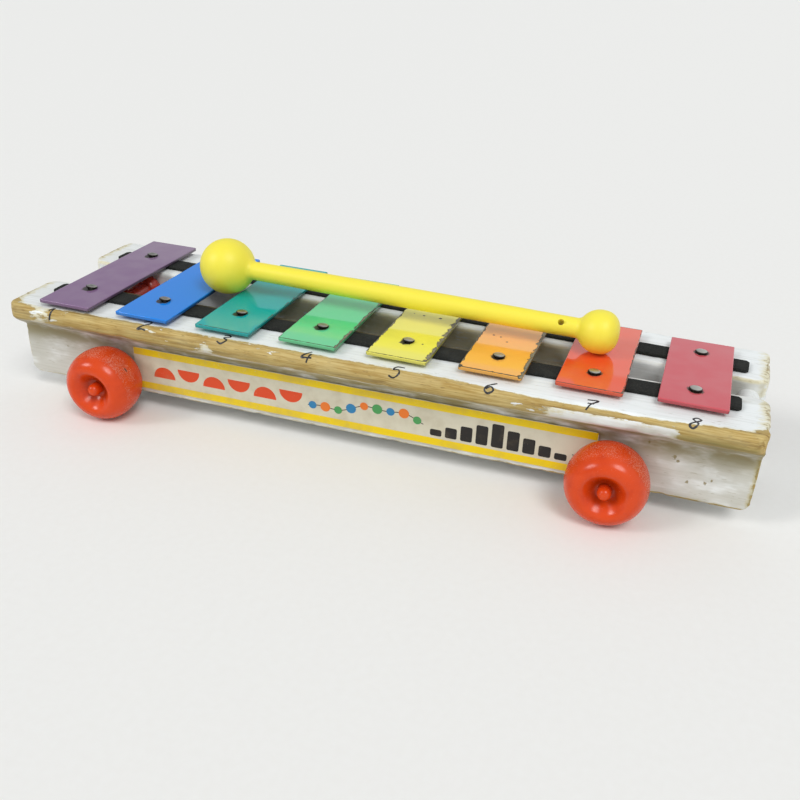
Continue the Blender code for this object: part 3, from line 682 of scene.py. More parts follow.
@dataclass(frozen=True)
class WheelPlastic:
    """Moulded glossy polystyrene, scuffed on the tread.

    It gives the eye a saturated orange-red with soft highlights, painted shade in the dish, and pale specks
    where the rim has been dragged.
    """

    name: str = "scuffed_red_polystyrene"
    colour: str = "#DB460C"
    deep: str = "#C83808"
    scuff: str = "#E0B49C"
    dish_shade_red: str = "#7E2004"
    nick: str = "#2A120C"
    clouds: Pattern = Pattern(0.009, 3, 0.6)
    specks: Pattern = Pattern(0.0005, 2, 0.6, 2)
    scuff_depth: float = 0.00006

    def build(self) -> bpy.types.Material:
        """Build the material.

        Returns:
            The finished material.
        """
        mix = Recipe(bpy.data.materials.new(self.name))
        wear = mix.add(Kind.MEASURE, attribute_name="wear")
        # On the wheel the grime attribute carries painted shade in the dish alone
        dirt = mix.add(Kind.MEASURE, attribute_name="grime")
        cloud = self.clouds.draw(mix)
        scuffed = mix.add(Kind.STEP, mix.add(Kind.TIMES_PLUS, wear, 0.16, self.specks.draw(mix)), 0.67, 0.73)
        colour = mix.layers(self.colour, (mix.add(Kind.STEP, cloud, 0.4, 0.8), self.deep),
                            (mix.add(Kind.TIMES, dirt, 0.45), self.dish_shade_red),
                            (mix.add(Kind.TIMES, scuffed, 0.42), self.scuff),
                            (mix.add(Kind.STEP, wear, 1.4, 1.8), self.nick))
        rough = mix.add(Kind.TIMES_PLUS, scuffed, 0.3, mix.add(Kind.TIMES_PLUS, cloud, 0.1, 0.18))
        normal = mix.add(Kind.BUMP, mix.add(Kind.MINUS, 1.0, scuffed), self.scuff_depth)
        return mix.finish(Base_Color=colour, Roughness=rough, Normal=normal, Specular_IOR_Level=0.36)


@dataclass(frozen=True)
class MalletPlastic:
    """Moulded polyethylene, satin from handling.

    It gives the eye a slightly waxy yellow with broad soft highlights and faint handling grime. The scratches
    along the handle are drawn coarser than real ones, so that they show.
    """

    name: str = "satin_yellow_polyethylene"
    colour: str = "#F9E946"
    grime: str = "#C9B43A"
    clouds: Pattern = Pattern(0.011, 4, 0.6, cut=(0.55, 0.8), share=0.35)
    specks: Pattern = Pattern(0.0011, 2, 0.5, 2, cut=(0.76, 0.8), share=0.35)
    scratches: Pattern = Pattern(0.0008, 2, 0.5, 3, (1, 1, 0.08))
    scratch_depth: float = 0.00003

    def build(self) -> bpy.types.Material:
        """Build the material.

        Returns:
            The finished material.
        """
        mix = Recipe(bpy.data.materials.new(self.name))
        colour = mix.layers(self.colour, (self.clouds.draw(mix), self.grime),
                            (self.specks.draw(mix), self.grime))
        scratch = self.scratches.draw(mix)
        return mix.finish(Base_Color=colour, Roughness=mix.add(Kind.TIMES_PLUS, scratch, 0.14, 0.38),
                          Normal=mix.add(Kind.BUMP, scratch, self.scratch_depth, 0.6), Subsurface_Weight=0.12,
                          Subsurface_Radius=(0.004, 0.003, 0.0008), Subsurface_Scale=1.0)


@dataclass(frozen=True)
class MattedFelt:
    """Pressed wool felt, dark grey with dust.

    It gives the eye a deep matt band with short fibres and a pale bloom of lint. The fibres are drawn much
    coarser than wool, so that they show.
    """

    name: str = "pressed_wool_felt"
    colour: str = "#222321"
    lint: str = "#4B4C48"
    fibres: Pattern = Pattern(0.0008, 5, 0.75)
    bloom: Pattern = Pattern(0.012, 2, 0.5, 2, cut=(0.5, 0.8), share=0.3)
    fibre_depth: float = 0.0005

    def build(self) -> bpy.types.Material:
        """Build the material.

        Returns:
            The finished material.
        """
        mix = Recipe(bpy.data.materials.new(self.name))
        fibre = self.fibres.draw(mix)
        raised = mix.add(Kind.TIMES, mix.add(Kind.STEP, fibre, 0.45, 0.75), 0.8)
        colour = mix.layers(self.colour, (raised, self.lint), (self.bloom.draw(mix), self.lint))
        return mix.finish(Base_Color=colour, Roughness=0.95, Specular_IOR_Level=0.2,
                          Normal=mix.add(Kind.BUMP, fibre, self.fibre_depth))


@dataclass(frozen=True)
class NailSteel:
    """Zinc-plated steel gone dull.

    It gives the eye a grey domed head with brown tarnish round its rim.
    """

    name: str = "tarnished_nail_steel"
    colour: str = "#BCBAB2"
    tarnish: str = "#262320"
    patches: Pattern = Pattern(0.0016, 3, 0.6)
    patch_depth: float = 0.00008

    def build(self) -> bpy.types.Material:
        """Build the material.

        Returns:
            The finished material.
        """
        mix = Recipe(bpy.data.materials.new(self.name))
        patch = self.patches.draw(mix)
        dull = mix.add(Kind.PLUS, mix.add(Kind.MEASURE, attribute_name="wear"),
                       mix.add(Kind.TIMES_PLUS, patch, 0.8, -0.4))
        colour = mix.layers(self.colour, (mix.add(Kind.STEP, dull, 0.2, 0.9), self.tarnish))
        rough = mix.add(Kind.TIMES_PLUS, patch, 0.25, 0.2)
        return mix.finish(Base_Color=colour, Metallic=1.0, Roughness=rough,
                          Normal=mix.add(Kind.BUMP, patch, self.patch_depth))


@dataclass(frozen=True)
class PrintedPaper:
    """Printed paper glued on and rubbed.

    It gives the eye a matt print whose colour is broken by rubbing and brown handling marks. The paper's
    fibres are drawn coarser than real ones, so that they show.
    """

    name: str
    colour: str
    grime: str = "#A08E6C"
    rubbed: str = "#DDD6C4"
    clouds: Pattern = Pattern(0.012, 4, 0.6)
    specks: Pattern = Pattern(0.0011, 3, 0.7, 3)
    fibres: Pattern = Pattern(0.0009, 3, 0.6, 5, (0.3, 1, 1))
    fibre_depth: float = 0.00004

    def build(self) -> bpy.types.Material:
        """Build the material.

        Returns:
            The finished material.
        """
        mix = Recipe(bpy.data.materials.new(self.name))
        wear = mix.add(Kind.MEASURE, attribute_name="wear")
        cloud = self.clouds.draw(mix)
        rub = mix.add(Kind.STEP, mix.add(Kind.TIMES_PLUS, wear, 0.14, self.specks.draw(mix)), 0.66, 0.8)
        dirt = mix.add(Kind.STEP, mix.add(Kind.TIMES_PLUS, wear, 0.35, cloud), 0.5, 0.95)
        colour = mix.layers(self.colour, (mix.add(Kind.TIMES, rub, 0.4), self.rubbed),
                            (mix.add(Kind.TIMES, dirt, 0.4), self.grime))
        return mix.finish(Base_Color=colour, Roughness=mix.add(Kind.TIMES_PLUS, cloud, 0.2, 0.42),
                          Normal=mix.add(Kind.BUMP, self.fibres.draw(mix), self.fibre_depth),
                          Specular_IOR_Level=0.35)


@dataclass(frozen=True)
class MarkerInk:
    """Black felt-pen ink on paint.

    It gives the eye thin hand-drawn strokes that are rubbed grey in places.
    """

    name: str = "felt_pen_ink"
    colour: str = "#1E1F22"
    faded: str = "#6C6C6A"
    rubbing: Pattern = Pattern(0.0014, 3, 0.6)
    ink_depth: float = 0.00003

    def build(self) -> bpy.types.Material:
        """Build the material.

        Returns:
            The finished material.
        """
        mix = Recipe(bpy.data.materials.new(self.name))
        rub = self.rubbing.draw(mix)
        colour = mix.layers(self.colour, (mix.add(Kind.STEP, rub, 0.5, 0.75), self.faded))
        return mix.finish(Base_Color=colour, Roughness=mix.add(Kind.TIMES_PLUS, rub, 0.3, 0.35),
                          Normal=mix.add(Kind.BUMP, rub, self.ink_depth))


@dataclass(frozen=True)
class Lacquer:
    """Red lacquer on turned beech.

    It gives the eye a bright wet red that darkens along the grain.
    """

    name: str = "red_lacquered_beech"
    colour: str = "#C4402D"
    deep: str = "#9A2A1D"
    grain: Pattern = Pattern(0.0012, 3, 0.6, stretch=(1, 1, 0.15))
    grain_depth: float = 0.00004

    def build(self) -> bpy.types.Material:
        """Build the material.

        Returns:
            The finished material.
        """
        mix = Recipe(bpy.data.materials.new(self.name))
        grain = self.grain.draw(mix)
        colour = mix.layers(self.colour, (mix.add(Kind.STEP, grain, 0.4, 0.75), self.deep))
        return mix.finish(Base_Color=colour, Roughness=mix.add(Kind.TIMES_PLUS, grain, 0.15, 0.18),
                          Normal=mix.add(Kind.BUMP, grain, self.grain_depth))


# Sub-assemblies


@dataclass
class Rail:
    """One milled rail: a rounded nose over a sloping undercut and a straight skirt."""

    side: Side
    length: float = 0.432
    width: float = 0.044
    height: float = 0.0508
    spacing: float = 0.0286
    splay: float = math.radians(1.39)
    rise: float = 0.0106
    nose: float = 0.0087
    overhang: float = 0.0131
    undercut: float = 0.0095
    nose_top_radius: float = 0.004
    nose_bottom_radius: float = 0.0025
    cove_radius: float = 0.005
    skirt_foot_radius: float = 0.002
    inner_top_radius: float = 0.0025
    inner_foot_radius: float = 0.0015
    outer_corner: float = 0.007
    inner_corner: float = 0.008
    foot_corner: float = 0.006
    eased_edge: float = 0.0015
    mesh_step: float = 0.002
    row_step: float = 0.0024
    moulding_steps: int = 6
    cap_rings: int = 7
    end_steps: int = 8
    corner_steps: int = 7
    unevenness: float = 0.00012
    unevenness_size: float = 0.018
    dent_depth: float = 0.00132
    dent_size: tuple[float, float, float] = (0.007, 0.005, 0.005)
    dent_threshold: float = 0.12

    @property
    def name(self) -> str:
        """Name of the rail's CAD node."""
        return f"{self.side.name.lower()}_rail"

    @property
    def skirt(self) -> float:
        """Distance of the skirt's outer face from the inner face."""
        return self.width - self.overhang

    @property
    def under(self) -> float:
        """Height of the nose's lower edge over the foot."""
        return self.height - self.nose

    @property
    def matrix(self) -> Matrix:
        """Place of the rail.

        Returns:
            Matrix from the rail's own frame (station, out, height) to the toy's.
        """
        sign = self.side.value
        carry = Matrix.Translation((0, sign * self.spacing / 2, self.rise))
        return carry @ Matrix.Rotation(-sign * self.splay, 4, "Z") @ Matrix.Diagonal((1, sign, 1, 1))

    def station(self, x: float, out: float) -> float:
        """Place along the rail of a point at a world X, at a distance out from its inner face."""
        return (x - out * math.sin(self.splay)) / math.cos(self.splay)

    def world_x(self, place: Vector) -> float:
        """World X of a place on the rail."""
        return place.x * math.cos(self.splay) + place.y * math.sin(self.splay)

    def section(self) -> tuple[list[Point], list[Point]]:
        """Draw the milled moulding.

        Returns:
            Inner and outer boundary of the cross-section as (height, out), from foot to top.
        """
        corners = [(0, 0, self.inner_foot_radius), (self.skirt, 0, self.skirt_foot_radius),
                   (self.skirt, self.under - self.undercut, self.cove_radius),
                   (self.width, self.under, self.nose_bottom_radius),
                   (self.width, self.height, self.nose_top_radius), (0, self.height, self.inner_top_radius)]
        points = [(height, out) for out, height in rounded(corners, self.moulding_steps)]
        count = self.moulding_steps + 1
        return sorted(points[:count] + points[5 * count:]), sorted(points[count:5 * count])

    def rows(self) -> list[Row]:
        """Run the moulding round the board.

        Returns:
            Rings from the middle of the foot to the middle of the top.
        """
        inner, outer = self.section()
        heights = sorted({height for height, _ in outer})
        dense: list[float] = []
        for low, high in zip(heights, heights[1:]):
            parts = max(1, round((high - low) / self.row_step))
            dense += [low + (high - low) * part / parts for part in range(parts)]
        dense.append(heights[-1])
        loops = [self.plan_loop(h, interpolate(inner, h), interpolate(outer, h)) for h in dense]
        shares = [step / self.cap_rings / 2 for step in range(1, self.cap_rings + 1)]
        foot = [self.drawn_in(loops[0], share) for share in reversed(shares)]
        return foot + loops + [self.drawn_in(loops[-1], share) for share in shares]

    @staticmethod
    def drawn_in(loop: Row, share: float) -> Row:
        """Draw a ring in towards its own middle line; a share of half closes it."""
        return [point.lerp(loop[-index % len(loop)], share) for index, point in enumerate(loop)]

    def plan_loop(self, height: float, inner: float, outer: float) -> Row:
        """Draw the board's plan at one height.

        Args:
            height: height over the foot.
            inner: distance of the inner side from the inner face.
            outer: distance of the outer side from the inner face.

        Returns:
            Ring from the middle of the wide end.
        """
        inset = quarter_round(height, self.foot_corner) + quarter_round(self.height - height, self.eased_edge)
        half = self.length / 2 - inset
        middle = (inner + outer) / 2
        inner_radius = max(self.inner_corner - inner, self.eased_edge)
        outer_radius = max(self.outer_corner - self.width + outer, self.eased_edge)
        inner_edge = self.long_edge(half, middle, inner, inner_radius)
        outer_edge = self.long_edge(half, middle, outer, -outer_radius)
        return [Vector((self.station(x, out), out, height)) for x, out in inner_edge + outer_edge[-2:0:-1]]

    def long_edge(self, half: float, middle: float, edge: float, radius: float) -> list[Point]:
        """Draw one long edge with its two corners.

        Args:
            half: half the length.
            middle: distance of the middle line from the inner face.
            edge: distance of the edge from the inner face.
            radius: radius of the corners, negative on the outer side.

        Returns:
            Points (X, out) from the middle of the wide end to the middle of the narrow end.
        """
        corner = edge + radius
        left = [(-half, middle + (corner - middle) * step / self.end_steps) for step in range(self.end_steps)]
        for step in range(self.corner_steps + 1):
            angle = QUARTER_TURN * step / self.corner_steps
            left.append((-half + abs(radius) * (1 - math.cos(angle)), corner - radius * math.sin(angle)))
        reach = half - abs(radius)
        side_steps = round(self.length / self.mesh_step)
        straight = [(-reach + 2 * reach * step / side_steps, edge) for step in range(1, side_steps)]
        return left + straight + [(-x, out) for x, out in reversed(left)]

    def to_side(self, place: Vector) -> float:
        """Measure how far a place on an end face lies from the nearest side.

        Args:
            place: place on the rail.

        Returns:
            Its distance.
        """
        slope = min(max((place.z - self.under + self.undercut) / self.undercut, 0.0), 1.0)
        outer = self.skirt + self.overhang * slope
        return max(min(place.y, outer - place.y, place.z, self.height - place.z), 0.0)

    def edge_nearness(self, place: Vector) -> float:
        """Tell how near a place is to an edge that takes knocks.

        Args:
            place: place on the rail.

        Returns:
            Nearness to the nose's edges, the foot or the ends, from 0 to 1.
        """
        to_end = self.length / 2 - abs(self.world_x(place))
        nose_top = math.hypot(place.y - self.width, place.z - self.height)
        nose_foot = math.hypot(place.y - self.width, place.z - self.under)
        foot = math.hypot(place.y - self.skirt, place.z)
        near = min(nose_top, nose_foot, foot + 0.001, to_end + 0.0012)
        return 1 - blend(near, 0.0015, 0.005)

    def sunk(self, place: Vector) -> float:
        """Tell how deep a place lies under the clean board.

        Args:
            place: place on the rail.

        Returns:
            Depth of the dents and of the general unevenness.
        """
        seed = Vector((0, 7 * self.side.value, 0))
        wave = noise.noise(place / self.unevenness_size + seed)
        blow = noise.noise(Vector([c / size for c, size in zip(place, self.dent_size)]) + seed * 2)
        knock = max(blow - self.dent_threshold, 0)
        return self.unevenness * (1 + wave) + self.dent_depth * knock * self.edge_nearness(place)

    def inside(self, place: Vector) -> float:
        """How surely a place lies on the inner face, below its top edge."""
        return (1 - blend(place.y, 0.0017, 0.0033)) * blend(self.height - place.z, -0.0002, 0.0009)

    @staticmethod
    def under_bars(x: float) -> float:
        """How deep in the row of bars a world X lies."""
        return blend(x, -0.13, -0.07) * (1 - blend(x, 0.115, 0.14))

    def kept_paint(self, x: float, past: float) -> float:
        """Tell how much paint is still there on the nose's front.

        Args:
            x: world X.
            past: distance past the line where the top starts to round off.

        Returns:
            Share of paint.
        """
        if self.side is Side.FRONT:
            strip = 0.85 * blend(x, 0.085, 0.125) * (1 - blend(x, 0.17, 0.182)) * blend(past, 0.0062, 0.0085)
            patch = 0.7 * bell(x, -0.083, 0.009) * blend(past, 0.006, 0.009)
            return max(strip, patch, 0.58 * bell(x, -0.193, 0.012))
        strip = blend(x, -0.13, -0.09) * (1 - blend(x, -0.03, 0.0)) * blend(past, 0.0055, 0.0085)
        return max(strip, 0.8 * bell(x, 0.12, 0.02))

    def nose_wear(self, place: Vector, x: float, to_end: float) -> float:
        """Tell how far the paint is rubbed off the nose.

        Args:
            place: place on the rail.
            x: world X.
            to_end: distance to the end's outline.

        Returns:
            Wear of the nose; nothing elsewhere.
        """
        if place.z <= self.under - 0.0012 or place.y <= self.skirt + 0.004:
            return 0.0
        past = (place.y - self.width + self.nose_top_radius) + (self.height - place.z)
        # The bare wood starts further down the nose beside the last bars
        rim = 0.0034 * blend(x, 0.04, 0.11) * (1 - blend(x, 0.165, 0.2)) - 0.001
        value = blend(past - rim, -0.0022, 0.0042) * (1 - self.kept_paint(x, past))
        value = max(value, 0.95 * (1 - blend(to_end, 0.0015, 0.012)))
        return value * blend(past, 0.001, 0.005) if self.side is Side.BACK else value

    def wear(self, place: Vector) -> float:
        """Tell how far the paint is rubbed off.

        Args:
            place: place on the rail.

        Returns:
            Wear; half is where the ragged edge of the paint runs.
        """
        x = self.world_x(place)
        narrow = x > 0
        to_end = math.hypot(self.length / 2 - abs(x), self.to_side(place))
        # The ends' outlines, then the long edges at the foot and over the gap, then the face in the gap
        on_skirt = blend(place.z, self.under, self.under - 0.004)
        top_end = (0.45 if narrow or self.side is Side.BACK else 0.42) * (1 - blend(to_end, 0.0005, 0.012))
        skirt_end = (0.52 if narrow else 0.4) * (1 - blend(to_end, 0.0004, 0.005 if narrow else 0.0025))
        to_foot = math.hypot(place.y - self.skirt, place.z)
        foot = (0.5 + 0.2 * blend(x, 0.0, 0.17)) * (1 - blend(to_foot, 0.0004, 0.003))
        to_inner_top = math.hypot(place.y, place.z - self.height)
        inner_top = (0.3 + 0.2 * blend(abs(x), 0.17, 0.2)) * (1 - blend(to_inner_top, 0.0005, 0.004))
        inner = self.inside(place) * (0.1 + 0.29 * self.under_bars(x))
        return max(self.nose_wear(place, x, to_end), top_end * (1 - on_skirt), skirt_end * on_skirt, foot,
                   inner_top, inner)

    def grime(self, place: Vector) -> float:
        """Tell how much grime and painted shade darken a place.

        Args:
            place: place on the rail.

        Returns:
            Grime and painted shade, most on the inner face under the bars; past one it is painted shade
            alone, in the darkest colour.
        """
        x = self.world_x(place)
        # Inner face: a little grime all along, painted shade under the row of bars, and darker at the narrow
        # end by the dowel
        inner = self.inside(place) * (0.05 + 0.07 * self.under_bars(x) + 0.34 * blend(x, 0.17, 0.19))
        # Painted shade: the near rail's face in the gap is painted near black where the bars shade it
        gap_side_shade = 0.0
        if self.side is Side.FRONT:
            gap_side_shade = 1.8 * blend(x, -0.185, -0.165) * (1 - 0.85 * blend(x, 0.115, 0.14))
            gap_side_shade *= 1 - blend(place.y, 0.008, 0.0105)
        top = blend(place.z, self.height - 0.002, self.height - 0.0005) * (1 - self.inside(place))
        top *= 0.13 * (1 - blend(x, -0.19, -0.06))
        # Outside, grime lies along the foot; painted shadow lies in the undercut under the nose, and the
        # skirt below is darkened about half as much; painted shade darkens the lower front of the nose, most
        # towards the narrow end
        skirt = blend(place.y, self.skirt - 0.001, self.skirt - 0.0004)
        shaded = 0.95 * (1 - blend(place.z, self.under - 0.003, self.under - 0.0004))
        shaded *= 0.45 + 0.55 * blend(place.z, 0.018, self.under - self.undercut)
        foot = 0.5 * (1 - blend(place.z, 0.0015, 0.0045))
        nose_front_shade = blend(place.y, self.width - 0.002, self.width) * (0.4 + 0.55 * blend(x, 0.14, 0.19))
        nose_front_shade *= 1 - blend(place.z, self.under, self.height - self.nose * 0.3)
        return max(inner, gap_side_shade, top, skirt * foot, skirt * shaded, nose_front_shade)

    def surface(self, x: float, past: float) -> tuple[Vector, Vector]:
        """Find a point on the top or round the nose.

        Args:
            x: world X.
            past: distance past the line where the top starts to round off, measured on the surface.

        Returns:
            Its place and its outward direction, in the toy's frame.
        """
        radius = self.nose_top_radius
        angle = min(max(past / radius, 0.0), QUARTER_TURN)
        down = max(past - radius * QUARTER_TURN, 0.0)
        out = self.width - radius + min(past, 0.0) + radius * math.sin(angle)
        place = Vector((self.station(x, out), out, self.height - radius + radius * math.cos(angle) - down))
        normal = Vector((0, math.sin(angle), math.cos(angle)))
        place -= normal * self.sunk(place)
        return self.matrix @ place, (self.matrix.to_3x3() @ normal).normalized()

    def build(self, paint: bpy.types.Material) -> None:
        """Build and dress the rail.

        Args:
            paint: its finish.
        """
        piece = solid(f"{self.name}_board", skin(self.rows()), paint, self.matrix, self.sunk, wear=self.wear,
                      grime=self.grime)
        hand_in(piece, "frame", "white_paint", self.name)


@dataclass
class BarRow:
    """The eight enamelled bars with their felt strips and nails."""

    rails: dict[Side, Rail]
    first_inset: float = 0.0393
    last_inset: float = 0.0371
    width: float = 0.0342
    thickness: float = 0.0023
    longest: float = 0.1185
    shortest: float = 0.0798
    corner: float = 0.0007
    eased_edge: float = 0.0005
    hole: float = 0.0024
    mark_shift: float = 0.001
    felt_width: float = 0.013
    felt_thickness: float = 0.0016
    felt_wide_margin: float = 0.0145
    front_felt_margin: float = 0.0145
    back_felt_margin: float = 0.0118
    felt_steps: int = 260
    felt_end_radius: float = 0.0018
    felt_spread: float = 0.0006
    fray: float = 0.0007
    fray_size: float = 0.004
    felt_ease: float = 0.3
    nail_line: float = 0.0139
    head_radius: float = 0.0034
    head_rim: float = 0.0004
    head_dome: float = 0.001
    shank: float = 0.0012
    shank_length: float = 0.0095
    nail_lean: float = math.radians(8)
    lean_axis: tuple[float, float, float] = (-1, 0.8, 0)
    tarnish: float = 0.42
    tarnished_rim: float = 0.72
    head_unevenness: float = 0.00006
    head_unevenness_size: float = 0.0012
    head_segments: int = 32
    hole_segments: int = 32
    enamels: tuple[BarEnamel, ...] = (
        BarEnamel("violet", "#836389", Haze(0.0, 0.1, 0.13)),
        BarEnamel("blue", "#1684E6", Haze(0.0, 0.0, 0.05)),
        BarEnamel("teal", "#00ABA9", Haze(0.0, 0.01, 0.06), 0.35, EdgeChips(0.0001, 0.0003, 0.0004, 0.0001)),
        BarEnamel("green", "#58D892", Haze(0.13, 0.07, 0.0), 0.9, EdgeChips(0.0004, 0.0008, 0.0004, 0.0004)),
        BarEnamel("yellow", "#F6EE58", Haze(0.08, 0.05, 0.0), 0.75, EdgeChips(0.0008, 0.0013, 0.0004, 0.0008),
                  ((0.0083, -0.0277, 0.0006), (-0.0036, 0.0105, 0.0007), (0.0065, 0.0104, 0.0008),
                   (-0.01, 0.0116, 0.0005))),
        BarEnamel("orange", "#FFB84A", Haze(0.03, 0.03, 0.0), 0.75, EdgeChips(0.0006, 0.0012, 0.0005, 0.0008),
                  ((-0.0053, -0.0007, 0.0006), (-0.0005, -0.0059, 0.0007), (-0.0096, 0.0004, 0.0006),
                   (-0.0163, -0.0442, 0.0014), (0.0156, -0.0445, 0.0013), (0.0015, -0.0449, 0.0007))),
        BarEnamel("orange_red", "#EE5326", Haze(0.04, 0.05, 0.03), 0.75,
                  EdgeChips(0.0001, 0.0004, 0.0004, 0.0006)),
        BarEnamel("crimson", "#CE505A", Haze(0.0, 0.07, 0.03), 0.1))

    @property
    def bar_top(self) -> float:
        """Height of the bars' top faces."""
        rail = self.rails[Side.FRONT]
        return rail.rise + rail.height + SEAT_GAP + self.felt_thickness + SEAT_GAP + self.thickness

    @property
    def pitch(self) -> float:
        """Distance from bar to bar."""
        return (self.rails[Side.FRONT].length - self.first_inset - self.last_inset) / (len(self.enamels) - 1)

    def centre(self, index: int) -> float:
        """World X of a bar's middle."""
        return self.first_inset - self.rails[Side.FRONT].length / 2 + index * self.pitch

    def nail_offset(self, index: int) -> float:
        """Measure how far a bar's nails lie from the middle plane.

        Args:
            index: place of the bar in the row.

        Returns:
            Their distance.
        """
        rail = self.rails[Side.FRONT]
        station = rail.station(self.centre(index), self.nail_line)
        return rail.spacing / 2 + self.nail_line * math.cos(rail.splay) - station * math.sin(rail.splay)

    def plate(self, half: HalfSize, nail: float) -> bmesh.types.BMesh:
        """Cut a plate with eased edges and two holes.

        Args:
            half: half its width, length and thickness.
            nail: distance of the holes from its middle.

        Returns:
            Its mesh, about its middle.
        """
        curve = bpy.data.curves.new("bar_outline", "CURVE")
        curve.dimensions = "2D"
        curve.fill_mode = "BOTH"
        curve.extrude = half.z - self.eased_edge
        curve.offset = -self.eased_edge
        curve.bevel_depth = self.eased_edge
        curve.bevel_resolution = 2
        corners = [(a * half.x, b * half.y, self.corner) for a, b in ((-1, -1), (1, -1), (1, 1), (-1, 1))]
        holes = [arc((0, side.value * nail), self.hole, 0, 360, self.hole_segments)[:-1] for side in Side]
        for loop in [rounded(corners, 4), *holes]:
            spline = curve.splines.new("POLY")
            spline.points.add(len(loop) - 1)
            spline.use_cyclic_u = True
            for point, (a, b) in zip(spline.points, loop):
                point.co = (a, b, 0, 1)
        holder = in_scene(bpy.data.objects.new("bar_outline", curve))
        work = bmesh.new()
        work.from_mesh(as_mesh(holder))
        bpy.data.objects.remove(holder)
        bmesh.ops.remove_doubles(work, verts=work.verts, dist=WELD * 5)
        return work

    def build_bar(self, index: int) -> None:
        """Build and dress one bar.

        Args:
            index: its place in the row, counted from 0 at the wide end.
        """
        share = index / (len(self.enamels) - 1)
        length = self.longest + (self.shortest - self.longest) * share
        half = HalfSize(self.width / 2, length / 2, self.thickness / 2)
        nail = self.nail_offset(index)
        enamel = self.enamels[index].build(half, nail, self.mark_shift * (1 - blend(index, 3.5, 6)))
        world = Matrix.Translation((self.centre(index), 0, self.bar_top - half.z))
        piece = solid(f"bar_{index + 1}_plate", self.plate(half, nail), enamel, world)
        # The flat faces stay flat, so that they mirror cleanly
        for polygon in piece.data.polygons:
            polygon.use_smooth = abs(polygon.normal.z) < 0.999
        hand_in(piece, "frame", f"bar_enamel_{index + 1}", f"bar_{index + 1}")

    def build_felt(self, side: Side, felt: bpy.types.Material) -> None:
        """Build one felt strip with frayed edges.

        Args:
            side: side of the toy.
            felt: finish of the strip.
        """
        rail = self.rails[side]
        margin = self.front_felt_margin if side is Side.FRONT else self.back_felt_margin
        start = -rail.length / 2 + self.felt_wide_margin
        end = rail.length / 2 - margin
        low = rail.height + SEAT_GAP
        top = low + self.felt_thickness
        edge = self.felt_thickness * self.felt_ease
        rows: list[Row] = []
        for step in range(self.felt_steps + 1):
            x = start + (end - start) * step / self.felt_steps
            draw = quarter_round(min(x - start, end - x), self.felt_end_radius) - self.felt_spread
            edges = []
            for sign, shift in ((-1, 0), (1, 9)):
                chance = noise.noise(Vector((x / self.fray_size, side.value * 5.0 + shift, 0)))
                cut_back = draw + self.fray * (0.5 + 0.5 * chance)
                edges.append(self.nail_line + sign * (self.felt_width / 2 - cut_back))
            inner, outer = edges
            section = [(inner, low), (inner, top - edge), (inner + edge, top)]
            section += [(inner + (outer - inner) * part / 6, top) for part in range(1, 6)]
            section += [(outer - edge, top), (outer, top - edge), (outer, low)]
            section += [(outer - (outer - inner) * part / 3, low) for part in range(1, 3)]
            rows.append([Vector((x, out, height)) for out, height in section])
        first, last = [[sum(row, Vector()) / len(row)] * len(row) for row in (rows[0], rows[-1])]
        name = f"{side.name.lower()}_felt"
        piece = solid(f"{name}_strip", skin([first, *rows, last]), felt, rail.matrix)
        hand_in(piece, "frame", "black_felt", name)

    def build_nail(self, side: Side, index: int, steel: bpy.types.Material) -> None:
        """Build one domed nail, a little tilted as it was driven.

        Args:
            side: side of the toy.
            index: place of its bar in the row.
            steel: finish of the nail.
        """
        rail = self.rails[side]
        profile = [(a * self.head_radius, self.head_rim + b * self.head_dome)
                   for a, b in arc((0, 0), 1, 90, 0, 8)]
        profile += [(self.head_radius, self.head_rim * 0.4), (self.head_radius * 0.94, 0), (self.shank, 0),
                    (self.shank, -self.shank_length), (0, -self.shank_length - self.shank)]
        chance = noise.noise(Vector((index * 1.7, side.value * 3.1, 0.5)))
        lean = self.nail_lean * (1 - 0.1 * index) * (1 + chance)
        station = rail.station(self.centre(index), self.nail_line)
        foot = Vector((station, self.nail_line, self.bar_top - rail.rise))
        lift = SEAT_GAP + self.head_radius * math.sin(lean) * 0.7
        world = Matrix.Translation(rail.matrix @ foot + Vector((0, 0, lift)))
        world @= Matrix.Rotation(lean, 4, Vector(self.lean_axis))
        # The heads near the wide end are tarnished all over, the others at their rims
        dull = self.tarnish * (1 - blend(index, 2, 6))
        rim = self.head_radius * self.tarnished_rim
        seed = Vector((index, 0, 0))
        name = f"{side.name.lower()}_nail_{index + 1}"
        piece = solid(
            f"{name}_domed", turned(profile, self.head_segments), steel, world,
            lambda place: self.head_unevenness * noise.noise(place / self.head_unevenness_size + seed),
            wear=lambda place: max(dull, blend(math.hypot(place.x, place.y), rim, self.head_radius)))
        hand_in(piece, "frame", "nail_steel", name)

    def build(self) -> None:
        """Build and dress the whole row."""
        for index in range(len(self.enamels)):
            self.build_bar(index)
        felt = MattedFelt().build()
        steel = NailSteel().build()
        for side in Side:
            self.build_felt(side, felt)
            for index in range(len(self.enamels)):
                self.build_nail(side, index, steel)


